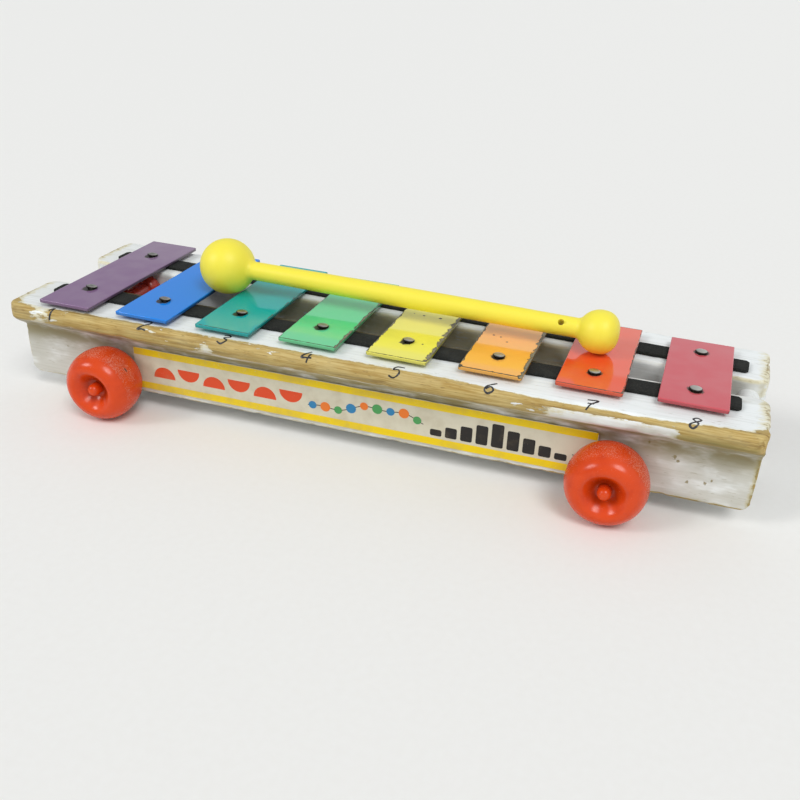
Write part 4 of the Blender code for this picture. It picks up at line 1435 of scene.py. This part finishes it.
@dataclass
class Wheel:
    """One dished wheel on its domed axle pin, with Z along the axle and outward."""

    rail: Rail
    end: WheelEnd
    radius: float = 0.0216
    front_depth: float = 0.013
    back_depth: float = 0.015
    crest: float = 0.0132
    dish_floor_radius: float = 0.0044
    dish_depth: float = 0.0071
    dish_curve: float = 1.8
    back_crest: float = 0.0145
    back_recess: float = 0.0035
    boss: float = 0.0068
    fillet: float = 0.0012
    stand_off: float = 0.0013
    running_gap: float = 0.0004
    axle_rise: float = 0.011
    wide_inset: float = 0.0639
    narrow_inset: float = 0.0717
    pin: float = 0.0025
    pin_head: float = 0.0036
    pin_tip: float = 0.0128
    pin_depth: float = 0.02
    unevenness: float = 0.00005
    knock_depth: float = 0.0005
    nick: tuple[float, float, float] = (0.0172, -0.0126, 0.0012)
    nick_radius: float = 0.0011
    pin_scuff: float = 0.15
    dish_steps: int = 18
    segments: int = 96
    pin_segments: int = 48

    @property
    def name(self) -> str:
        """Name of the wheel's body and CAD node."""
        return f"{self.rail.side.name.lower()}_{self.end.value}_wheel"

    @property
    def seed(self) -> Vector:
        """Shift of the noise on this wheel."""
        return Vector((3.0 * self.rail.side.value, 5.0 if self.end is WheelEnd.WIDE else 1.0, 0))

    @property
    def station(self) -> float:
        """Place of the axle along the rail."""
        half = self.rail.length / 2
        return self.wide_inset - half if self.end is WheelEnd.WIDE else half - self.narrow_inset

    @property
    def plane(self) -> float:
        """Distance of the wheel's middle plane from the rail's inner face."""
        return self.rail.skirt + self.stand_off + self.back_depth

    def profile(self) -> list[Point]:
        """Draw the wheel's profile.

        Returns:
            Points from the bore over the dish, crest and tread to the back of the hub.
        """
        floor = self.front_depth - self.dish_depth
        bore = self.pin + self.running_gap
        slope = self.crest - self.dish_floor_radius
        shares = [step / self.dish_steps for step in range(self.dish_steps)]
        dish = [(self.dish_floor_radius + slope * share,
                 floor + self.dish_depth * math.sin(QUARTER_TURN * share) ** self.dish_curve)
                for share in shares]
        front = [(self.crest + (self.radius - self.crest) * b, self.front_depth * a)
                 for a, b in arc((0, 0), 1, 0, 90, 18)]
        back = [(self.back_crest + (self.radius - self.back_crest) * a, -self.back_depth * b)
                for a, b in arc((0, 0), 1, 0, 90, 14)[1:]]
        recess = self.back_recess - self.back_depth
        face = self.running_gap - self.back_depth - self.stand_off
        hub = [(self.back_crest - self.back_recess, recess), (self.boss + self.fillet, recess),
               (self.boss, recess - self.fillet), (self.boss, face), (bore, face), (bore, floor)]
        return [(bore, floor), *dish, *front, *back, *hub]

    def scuff(self, place: Vector) -> float:
        """Tell how scuffed a place is.

        Args:
            place: place on the wheel.

        Returns:
            Scuffing of the tread, strongest on the outer shoulder; 2 in the nick.
        """
        nicked = self.rail.side is Side.FRONT and self.end is WheelEnd.WIDE
        if nicked and (place - Vector(self.nick)).length < self.nick_radius:
            return 2.0
        radius = math.hypot(place.x, place.y)
        tread = blend(radius / self.radius, 0.9, 0.96) * (0.35 + 0.65 * blend(place.z, -0.004, 0.0))
        upper = blend((0.4 * place.x - 0.9 * place.y) / radius, 0.1, 0.75)
        patch = (0.45 + 0.55 * upper) * (1 + 1.1 * noise.noise(place / 0.009 + self.seed))
        return min(max(tread * patch, 0.0), 1.0)

    def dish_shade(self, place: Vector) -> float:
        """Painted shade in the dish, darker towards its bottom."""
        in_dish = place.z >= 0 and math.hypot(place.x, place.y) <= self.crest
        return blend((self.front_depth - place.z) / self.dish_depth, 0.3, 1.0) if in_dish else 0.0

    def sunk(self, place: Vector) -> float:
        """Tell how deep a place lies under the clean wheel.

        Args:
            place: place on the wheel.

        Returns:
            Depth of the small flats and knocks on the tread.
        """
        knock = max(noise.noise(place / 0.004 + self.seed) - 0.2, 0)
        wave = noise.noise(place / 0.012 + self.seed)
        return self.unevenness * (1 + wave) + self.knock_depth * knock * self.scuff(place)

    def build(self, plastic: bpy.types.Material) -> None:
        """Build and dress the wheel and its pin.

        Args:
            plastic: finish of both.
        """
        axle = Matrix.Translation((self.station, self.plane, self.axle_rise))
        world = self.rail.matrix @ axle @ Matrix.Rotation(-QUARTER_TURN, 4, "X")
        wheel = solid(f"{self.name}_moulding", turned(self.profile(), self.segments), plastic, world,
                      self.sunk, wear=self.scuff, grime=self.dish_shade)
        hand_in(wheel, self.name, "red_plastic", self.name)
        floor = self.front_depth - self.dish_depth + self.running_gap
        tip = self.rail.skirt - self.plane - self.pin_depth
        profile = arc((0, self.pin_tip - self.pin_head), self.pin_head, 90, 0, 12)
        profile += [(self.pin_head, floor), (self.pin, floor), (self.pin, tip), (0, tip)]
        pin_name = self.name.replace("wheel", "axle_pin")
        pin = solid(f"{pin_name}_peg", turned(profile, self.pin_segments), plastic, world,
                    wear=lambda place: self.pin_scuff)
        hand_in(pin, "frame", "red_plastic", pin_name)


@dataclass
class CrossPieces:
    """The dowel and the spool that hold the rails together."""

    rail: Rail
    depth: float = 0.0116
    dowel: float = 0.0062
    chamfer: float = 0.0008
    seat: float = 0.009
    dowel_inset: float = 0.0097
    spool_inset: float = 0.046
    barrel: float = 0.0066
    collar: float = 0.0098
    collar_width: float = 0.0095
    dowel_wear: float = 0.05
    dowel_segments: int = 48
    spool_segments: int = 64

    def half_gap(self, x: float) -> float:
        """Half the distance between the rails at a world X."""
        return self.rail.spacing / 2 - self.rail.station(x, 0) * math.sin(self.rail.splay)

    def across(self, x: float) -> Matrix:
        """Matrix that lays a piece turned about Z across the rails at a world X."""
        height = self.rail.rise + self.rail.height - self.depth
        return Matrix.Translation((x, 0, height)) @ Matrix.Rotation(QUARTER_TURN, 4, "X")

    def build_dowel(self, paint: bpy.types.Material) -> None:
        """Build and dress the dowel at the narrow end.

        Args:
            paint: its finish.
        """
        x = self.rail.length / 2 - self.dowel_inset
        end = self.half_gap(x) + self.seat - SEAT_GAP
        tip = [(0, end), (self.dowel - self.chamfer, end), (self.dowel, end - self.chamfer)]
        side = [(self.dowel, end * (1 - step / 12)) for step in range(1, 24)]
        profile = [*tip, *side, *[(radius, -height) for radius, height in reversed(tip)]]
        piece = solid("narrow_end_dowel_rod", turned(profile, self.dowel_segments), paint, self.across(x),
                      wear=lambda place: self.dowel_wear, grime=lambda place: 0.0)
        hand_in(piece, "frame", "white_paint", "narrow_end_dowel")

    def build_spool(self, lacquer: bpy.types.Material) -> None:
        """Build and dress the spool at the wide end.

        Args:
            lacquer: its finish.
        """
        x = self.spool_inset - self.rail.length / 2
        end = self.half_gap(x) + self.seat - SEAT_GAP
        face = self.half_gap(x) - SEAT_GAP - (self.dowel + self.collar) * math.sin(self.rail.splay)
        bulge = self.collar - self.barrel
        half_width = self.collar_width / 2
        side = [(0, end), (self.dowel, end), (self.dowel, face)]
        side += [(self.barrel + bulge * b, face - half_width + half_width * a)
                 for a, b in arc((0, 0), 1, 0, 180, 14)]
        profile = side + [(radius, -height) for radius, height in reversed(side)]
        piece = solid("wide_end_spool_turning", turned(profile, self.spool_segments), lacquer, self.across(x))
        hand_in(piece, "frame", "red_wood", "wide_end_spool")


@dataclass
class Label:
    """The paper label on the near skirt, printed with plain blocks, half discs and beads on a thread."""

    rail: Rail
    wide_wheel: Wheel
    narrow_wheel: Wheel
    wide_axle_inset: float = 0.012
    narrow_axle_inset: float = 0.0081
    foot_margin: float = 0.0036
    top_margin: float = 0.002
    thickness: float = 0.0003
    ink: float = 0.00004
    band: float = 0.0047
    band_margin: float = 0.0003
    band_inset: float = 0.0004
    line: float = 0.0005
    tear: float = 0.00022
    tear_size: float = 0.004
    block: float = 0.0066
    block_pitch: float = 0.0086
    block_foot: float = 0.0016
    block_height: float = 0.004
    block_rise: float = 0.0026
    block_corner: float = 0.001
    first_block: float = 0.046
    half_disc: float = 0.0072
    half_disc_pitch: float = 0.0165
    half_disc_foot: float = 0.0045
    half_disc_rise: float = 0.0078
    first_half_disc: float = -0.12
    bead: float = 0.0024
    bead_pitch: float = 0.0078
    first_bead: float = -0.024
    diamond: float = 0.0016
    diamond_pitch: float = 0.0035
    first_diamond: float = 0.1265
    waves: tuple[Point, ...] = ((0.0032, 0.0125), (0.001, 0.0041))
    threads: tuple[Point, ...] = ((-0.027, 0.042), (0.124, 0.1345))

    @property
    def start(self) -> float:
        """Place of the label's wide end along the rail."""
        return self.wide_wheel.station + self.wide_axle_inset

    @property
    def end(self) -> float:
        """Place of the label's narrow end along the rail."""
        return self.narrow_wheel.station - self.narrow_axle_inset

    @property
    def top(self) -> float:
        """Height of the label's upper edge over the rail's foot."""
        return self.rail.under - self.rail.undercut - self.top_margin

    @property
    def free_foot(self) -> float:
        """Height of the lower band's upper edge."""
        return self.foot_margin + self.band

    def dirt(self, place: Vector) -> float:
        """Handling marks, most at the wide end and the edges."""
        edge = min(place.y - self.foot_margin, self.top - place.y)
        return max(0.6 * (1 - blend(place.x - self.start, 0, 0.05)), 0.4 * (1 - blend(edge, 0, 0.003)))

    def torn_sheet(self) -> list[Point]:
        """Draw the sheet, a little torn along its edges.

        Returns:
            Its outline.
        """
        corners = [Vector(corner) for corner in ((self.start, self.foot_margin), (self.end, self.foot_margin),
                                                 (self.end, self.top), (self.start, self.top))]
        points: list[Point] = []
        for first, last in zip(corners, corners[1:] + corners[:1]):
            inward = (last - first).orthogonal().normalized()
            parts = round((last - first).length / 0.0015)
            for part in range(1, parts):
                place = first.lerp(last, part / parts)
                tear = self.tear * max(noise.noise(Vector((*place, 0)) / self.tear_size) + 0.3, 0)
                points.append(tuple(place + inward * tear))
        return points

    def bands(self) -> list[list[Point]]:
        """Draw the two bands along the sheet.

        Returns:
            Their outlines.
        """
        left = self.start + self.band_inset
        right = self.end - self.band_inset
        return [[(left, low), (right, low), (right, high), (left, high)]
                for low, high in ((self.foot_margin + self.band_margin, self.free_foot),
                                  (self.top - self.band, self.top - self.band_margin))]

    def blocks(self) -> list[list[Point]]:
        """Draw the row of nine blocks, the middle one tallest.

        Returns:
            Their outlines.
        """
        loops = []
        for index in range(9):
            foot = self.free_foot + self.block_foot
            left = self.first_block + index * self.block_pitch
            top = foot + self.block_height + self.block_rise * (4 - abs(index - 4))
            corners = [(left, foot), (left + self.block, foot), (left + self.block, top), (left, top)]
            loops.append(rounded([(*corner, self.block_corner) for corner in corners], 3))
        return loops

    def half_discs(self) -> list[list[Point]]:
        """Draw six half discs, every second one upside down.

        Returns:
            Their outlines.
        """
        loops = []
        for index in range(6):
            turned = index % 2
            centre = (self.first_half_disc + index * self.half_disc_pitch,
                      self.free_foot + self.half_disc_foot + self.half_disc_rise * turned)
            loops.append(arc(centre, self.half_disc, 180 * turned, 180 * turned + 180, 16))
        return loops

    def thread(self, station: float) -> float:
        """Height of the wavy thread at a place along the sheet."""
        middle = (self.foot_margin + self.top) / 2
        return middle + sum(depth * math.sin(station / length) for depth, length in self.waves)

    def thread_loop(self, start: float, end: float) -> list[Point]:
        """Draw the thread between two places.

        Args:
            start: first place along the sheet.
            end: last place.

        Returns:
            Its outline.
        """
        steps = round((end - start) / 0.001)
        places = [start + (end - start) * step / steps for step in range(steps + 1)]
        upper = [(place, self.thread(place) + self.line / 2) for place in places]
        return upper + [(place, height - self.line) for place, height in reversed(upper)]

    def beads(self, first: int) -> list[list[Point]]:
        """Draw every third bead on the thread, and one diamond.

        Args:
            first: index of the first bead, and of the diamond.

        Returns:
            Their outlines.
        """
        loops = []
        for index in range(first, 9, 3):
            station = self.first_bead + index * self.bead_pitch
            radius = self.bead + 0.0006 * (index % 2)
            loops.append(arc((station, self.thread(station)), radius, 0, 360, 24)[:-1])
        station = self.first_diamond + first * self.diamond_pitch
        height = self.thread(station)
        return loops + [[(station - self.diamond, height), (station, height - self.diamond),
                         (station + self.diamond, height), (station, height + self.diamond)]]

    def plates(self, name: str, loops: Sequence[Sequence[Point]], depth: float, rise: float,
               colour: str) -> None:
        """Build flat shapes of paper or print.

        Args:
            name: name of the piece.
            loops: outlines as (station, height).
            depth: thickness of the shapes.
            rise: distance of their faces from the skirt.
            colour: colour of the print.
        """
        work = bmesh.new()
        for loop in loops:
            front, back = [[work.verts.new((a, b, c)) for a, b in loop] for c in (rise, rise - depth)]
            work.faces.new(front)
            work.faces.new(back)
            for index in range(len(loop)):
                work.faces.new((front[index - 1], front[index], back[index], back[index - 1]))
        lay = Matrix(((1, 0, 0, 0), (0, 0, 1, self.rail.skirt), (0, 1, 0, 0), (0, 0, 0, 1)))
        paper = PrintedPaper(f"{name}_on_paper", colour).build()
        nodes = ("front_label",) if name == "label_sheet" else ()
        piece = solid(name, work, paper, self.rail.matrix @ lay, wear=self.dirt)
        hand_in(piece, "frame", "printed_paper", *nodes)

    def build(self) -> None:
        """Build and dress the sheet and its print."""
        face = SEAT_GAP + self.thickness
        self.plates("label_sheet", [self.torn_sheet()], self.thickness, face, "#D7D1BB")
        threads = [self.thread_loop(start, end) for start, end in self.threads]
        for name, loops, layer, colour in (
                ("yellow_bands", self.bands(), 1, "#F0CE00"), ("black_blocks", self.blocks(), 1, "#24211E"),
                ("red_half_discs", self.half_discs(), 1, "#DC4B22"), ("black_threads", threads, 1, "#2C2926"),
                ("blue_beads", self.beads(0), 2, "#2F7FB0"), ("orange_beads", self.beads(1), 2, "#E8792A"),
                ("green_beads", self.beads(2), 2, "#4C9A57")):
            self.plates(f"label_{name}", loops, self.ink * 2, face + self.ink * layer, colour)


@dataclass
class Numbers:
    """Plain numbers drawn by hand along the nose, one beside each bar.

    Their strokes are given by points (across, up) in shares of a number's height.
    """

    rail: Rail
    bars: BarRow
    height: float = 0.0086
    slope: float = 0.18
    pen: float = 0.0012
    lift: float = 0.00014
    first_shift: float = -0.009
    shift: float = 0.002
    drop_shares: tuple[float, ...] = (0.5, 0.0, -0.05, 0.2, 0.15, 0.05, 0.0, -0.05)
    stroke_shares: tuple[tuple[tuple[Point, ...], ...], ...] = (
        (((0.08, 0.72), (0.34, 1.0), (0.32, 0.5), (0.3, 0.0)),),
        (((0.02, 0.78), (0.2, 1.0), (0.5, 0.92), (0.52, 0.62), (0.05, 0.04), (0.35, 0.08), (0.66, 0.02)),),
        (((0.02, 0.9), (0.3, 1.0), (0.52, 0.8), (0.22, 0.56), (0.58, 0.32), (0.34, 0.0), (0.0, 0.12)),),
        (((0.36, 1.0), (0.02, 0.36), (0.3, 0.34), (0.68, 0.38)), ((0.5, 0.74), (0.47, 0.4), (0.46, 0.0))),
        (((0.62, 1.0), (0.16, 0.97), (0.1, 0.6), (0.42, 0.62), (0.58, 0.3), (0.34, 0.0), (0.0, 0.1)),),
        (((0.5, 1.0), (0.16, 0.6), (0.06, 0.2), (0.34, 0.0), (0.58, 0.24), (0.34, 0.48), (0.1, 0.26)),),
        (((0.0, 0.94), (0.32, 0.97), (0.62, 0.96), (0.36, 0.46), (0.22, 0.0)), ((0.14, 0.52), (0.5, 0.54))),
        (((0.5, 0.86), (0.24, 1.0), (0.08, 0.78), (0.46, 0.36), (0.28, 0.0), (0.04, 0.22), (0.46, 0.7),
          (0.5, 0.88)),))

    @staticmethod
    def smoothed(points: Sequence[Point], parts: int = 6) -> list[Vector]:
        """Run a smooth curve through given points.

        Args:
            points: the points.
            parts: parts between one point and the next.

        Returns:
            Points of the curve.
        """
        ends = [Vector(points[0]), *map(Vector, points), Vector(points[-1])]
        curve: list[Vector] = []
        for a, b, c, d in zip(ends, ends[1:], ends[2:], ends[3:]):
            for part in range(parts):
                t = part / parts
                curve.append(0.5 * (2 * b + (c - a) * t + (2 * a - 5 * b + 4 * c - d) * t ** 2
                                    + (3 * b - a - 3 * c + d) * t ** 3))
        return curve + [ends[-1]]

    def ribbon(self, centre: float, drop: float, points: Sequence[Point]) -> list[Row]:
        """Lay a thin ribbon of ink along the wood.

        Args:
            centre: world X of the number's middle.
            drop: distance of its middle past the line where the top starts to round off.
            points: points of the stroke, in shares of the number's height.

        Returns:
            Rows of the ribbon.
        """
        track = [Vector((centre + (a - 0.3 + self.slope * b) * self.height, drop + (0.5 - b) * self.height))
                 for a, b in self.smoothed(points)]
        rows: list[Row] = []
        for index, point in enumerate(track):
            ahead = track[min(index + 1, len(track) - 1)] - track[max(index - 1, 0)]
            pressure = 0.8 + 0.4 * noise.noise(Vector((*point, 0)) / 0.002)
            across = ahead.orthogonal().normalized() * self.pen / 2 * pressure
            row: Row = []
            for aside, lift in ((1, 1), (-1, 1), (-1, -1), (1, -1)):
                spot, normal = self.rail.surface(*(point + across * aside))
                row.append(spot + normal * self.lift * lift)
            rows.append(row)
        return rows

    def build(self) -> None:
        """Draw all the numbers."""
        ink = MarkerInk().build()
        for index, (strokes, drop) in enumerate(zip(self.stroke_shares, self.drop_shares)):
            centre = self.bars.centre(index) + (self.shift if index else self.first_shift)
            for count, points in enumerate(strokes):
                stroke = skin(self.ribbon(centre, drop * self.height, points))
                name = f"number_{index + 1}_stroke_{count + 1}"
                hand_in(solid(name, stroke, ink), "frame", "white_paint")


@dataclass
class Mallet:
    """The one-piece mallet that lies across the bars, with Z along it and its large ball at the top."""

    bars: BarRow
    ball: float = 0.0168
    end_ball: float = 0.012
    end_reach: float = 0.0106
    end_squareness: float = 2.4
    distance: float = 0.2256
    handle: float = 0.0055
    swell: float = 0.0004
    grip_steps: int = 60
    ball_fillet: float = 0.0045
    end_fillet: float = 0.0035
    offset: float = 0.0006
    gap_index: int = 2
    hole: float = 0.0017
    hole_inset: float = 0.0205
    hole_tilt: float = math.radians(40)
    unevenness: float = 0.00005
    unevenness_size: float = 0.01
    segments: int = 96

    def ball_and_neck(self, radius: float, fillet: float) -> list[Point]:
        """Draw a ball that runs into the handle.

        Args:
            radius: radius of the ball.
            fillet: radius of the neck.

        Returns:
            Points (radius, distance from the ball's centre) from the pole to the end of the neck.
        """
        axial = math.sqrt((radius + fillet) ** 2 - (self.handle + fillet) ** 2)
        leave = math.degrees(math.atan2(self.handle + fillet, axial))
        ball = [(b * radius, -a * radius) for a, b in arc((0, 0), 1, 0, 180 - leave, 30)]
        return ball + arc((self.handle + fillet, axial), fillet, 270 - leave, 180, 8)[1:]

    def profile(self) -> list[Point]:
        """Draw the whole mallet.

        Returns:
            Points (radius, height) from the large ball's pole to the small ball's end.
        """
        head = [(radius, -along) for radius, along in self.ball_and_neck(self.ball, self.ball_fillet)]
        small = reversed(self.ball_and_neck(self.end_ball, self.end_fillet))
        neck = [(radius, along - self.distance) for radius, along in small if along > 0]
        start, end = head[-1][1], neck[0][1]
        shares = [step / self.grip_steps for step in range(1, self.grip_steps)]
        grip = [(self.handle + self.swell * math.sin(math.pi * share), start + (end - start) * share)
                for share in shares]
        power = 2 / self.end_squareness
        tail = [(self.end_ball * a ** power, -self.distance - self.end_reach * b ** power)
                for a, b in arc((0, 0), 1, 0, 90, 14)[:-1]]
        return head + grip + neck + tail + [(0, -self.distance - self.end_reach)]

    def lay(self) -> Matrix:
        """Lay the mallet on the bars, its large ball in the gap between two of them.

        Returns:
            Matrix from the mallet's own frame to the toy's.
        """
        middle = (self.bars.centre(self.gap_index - 1) + self.bars.centre(self.gap_index)) / 2
        half_gap = (self.bars.pitch - self.bars.width) / 2
        rise = math.sqrt((self.ball + SEAT_GAP) ** 2 - half_gap ** 2)
        head = Vector((middle, self.offset, self.bars.bar_top + rise))
        fall = rise - self.end_ball - SEAT_GAP
        tail = head + Vector((math.sqrt(self.distance ** 2 - fall ** 2), 0, -fall))
        return Matrix.Translation(head) @ (head - tail).to_track_quat("Z", "Y").to_matrix().to_4x4()

    def drill(self, piece: bpy.types.Object, world: Matrix) -> None:
        """Drill the small hole across the handle.

        Args:
            piece: the moulding.
            world: matrix from the mallet's own frame to the toy's.
        """
        work = bmesh.new()
        bmesh.ops.create_cone(work, cap_ends=True, segments=32, radius1=self.hole, radius2=self.hole,
                              depth=self.ball)
        mesh = bpy.data.meshes.new("drill")
        work.to_mesh(mesh)
        work.free()
        cutter = in_scene(bpy.data.objects.new("drill", mesh))
        spot = world @ Vector((0, 0, self.hole_inset - self.distance))
        turn = -self.hole_tilt - QUARTER_TURN
        cutter.matrix_world = Matrix.Translation(spot) @ Matrix.Rotation(turn, 4, "X")
        cut = piece.modifiers.new("cross_hole", "BOOLEAN")
        cut.object = cutter
        cut.solver = "EXACT"
        bpy.context.view_layer.update()
        drilled = as_mesh(piece)
        piece.modifiers.clear()
        piece.data = drilled
        bpy.data.objects.remove(cutter)

    def build(self) -> None:
        """Build and dress the mallet."""
        world = self.lay()
        plastic = MalletPlastic().build()
        piece = solid("mallet_moulding", turned(self.profile(), self.segments), plastic, world,
                      lambda place: self.unevenness * noise.noise(place / self.unevenness_size))
        self.drill(piece, world)
        hand_in(piece, "mallet", "yellow_plastic", "mallet")


@dataclass
class Studio:
    """Pale floor, soft lamps and the camera of the reference view."""

    camera_place: tuple[float, float, float] = (0.16879, -0.45231, 0.27112)
    yaw: float = math.radians(-18.968)
    pitch: float = math.radians(28.366)
    roll: float = math.radians(2.05)
    focal_pixels: float = 894.4
    picture_pixels: int = 800
    sensor: float = 36.0
    clip_start: float = 0.01
    floor_size: float = 6
    floor: str = "#F3F2EF"
    floor_shade: str = "#EFEDE9"
    sky: str = "#F3F7FA"
    lamps: tuple[tuple[str, tuple[float, float, float], float, float], ...] = (
        ("left_lamp", (-0.63, -0.52, 0.57), 0.85, 19), ("right_lamp", (0.40, -0.43, 0.81), 1.2, 25))

    def build_camera(self) -> None:
        """Set the camera."""
        ahead = Vector((math.sin(self.yaw), math.cos(self.yaw), 0))
        forward = ahead * math.cos(self.pitch) - Vector((0, 0, math.sin(self.pitch)))
        level = Vector((math.cos(self.yaw), -math.sin(self.yaw), 0))
        upright = level.cross(forward)
        right = level * math.cos(self.roll) + upright * math.sin(self.roll)
        above = upright * math.cos(self.roll) - level * math.sin(self.roll)
        data = bpy.data.cameras.new("camera")
        data.sensor_width = self.sensor
        data.lens = self.focal_pixels / self.picture_pixels * self.sensor
        data.clip_start = self.clip_start
        camera = in_scene(bpy.data.objects.new("camera", data))
        rotation = Matrix((right, above, -forward)).transposed().to_4x4()
        camera.matrix_world = Matrix.Translation(self.camera_place) @ rotation
        bpy.context.scene.camera = camera

    def build_floor(self) -> None:
        """Lay a plain pale floor with a faint grain of 4 mm."""
        mix = Recipe(bpy.data.materials.new("pale_floor"))
        grain = mix.add(Kind.NOISE, mix.add(Kind.COORDINATES), 1 / 0.004, 3.0, 0.5, 0.0)
        colour = mix.layers(self.floor, (grain, self.floor_shade))
        work = bmesh.new()
        bmesh.ops.create_grid(work, x_segments=1, y_segments=1, size=self.floor_size)
        mesh = bpy.data.meshes.new("floor")
        work.to_mesh(mesh)
        work.free()
        mesh.materials.append(mix.finish(Base_Color=colour, Roughness=0.8))
        in_scene(bpy.data.objects.new("floor", mesh))

    def build_world(self) -> None:
        """Light the toy softly, with a white room for the camera and for reflections."""
        mix = Recipe(bpy.data.worlds.new("studio"))
        rays = mix.add(Kind.RAYS).node.outputs
        direction = mix.add(Kind.SPLIT, mix.add(Kind.COORDINATES).node.outputs["Generated"])
        walls = mix.add(Kind.RAMP, direction, -0.5, 0.3, 0.5, 1.0)
        lit = mix.add(Kind.BALANCE, rays["Is Glossy Ray"], 0.55, walls)
        strength = mix.add(Kind.BALANCE, rays["Is Camera Ray"], lit, 1.0)
        mix.add(Kind.WORLD, mix.add(Kind.SKY, linear(self.sky), strength))
        bpy.context.scene.world = mix.owner

    def build_lamps(self) -> None:
        """Shine two wide, soft lamps from above, one on either side of the camera."""
        for name, towards, energy, width in self.lamps:
            data = bpy.data.lights.new(name, "SUN")
            data.angle = math.radians(width)
            data.energy = energy
            lamp = in_scene(bpy.data.objects.new(name, data))
            lamp.rotation_euler = Vector(towards).to_track_quat("Z", "Y").to_euler()

    def build(self) -> None:
        """Build the whole studio."""
        self.build_camera()
        self.build_floor()
        self.build_world()
        self.build_lamps()
        bpy.context.scene.view_settings.view_transform = "Standard"


def main() -> None:
    """Build every piece of the toy and the studio round it."""
    logging.basicConfig(level=logging.INFO, format="%(name)s: %(message)s")
    rails = {side: Rail(side) for side in Side}
    near_rail = rails[Side.FRONT]
    paint = BrushedPaint().build()
    rails[Side.BACK].build(paint)
    near_rail.build(BrushedPaint("pitted_white_paint_on_birch", NEAR_SKIRT_PITS).build())
    bars = BarRow(rails)
    bars.build()
    plastic = WheelPlastic().build()
    wheels = {(side, end): Wheel(rails[side], end) for side in Side for end in WheelEnd}
    for wheel in wheels.values():
        wheel.build(plastic)
    Label(near_rail, wheels[Side.FRONT, WheelEnd.WIDE], wheels[Side.FRONT, WheelEnd.NARROW]).build()
    Numbers(near_rail, bars).build()
    cross_pieces = CrossPieces(near_rail)
    cross_pieces.build_dowel(paint)
    cross_pieces.build_spool(Lacquer().build())
    Mallet(bars).build()
    Studio().build()


if __name__ == "__main__":
    main()
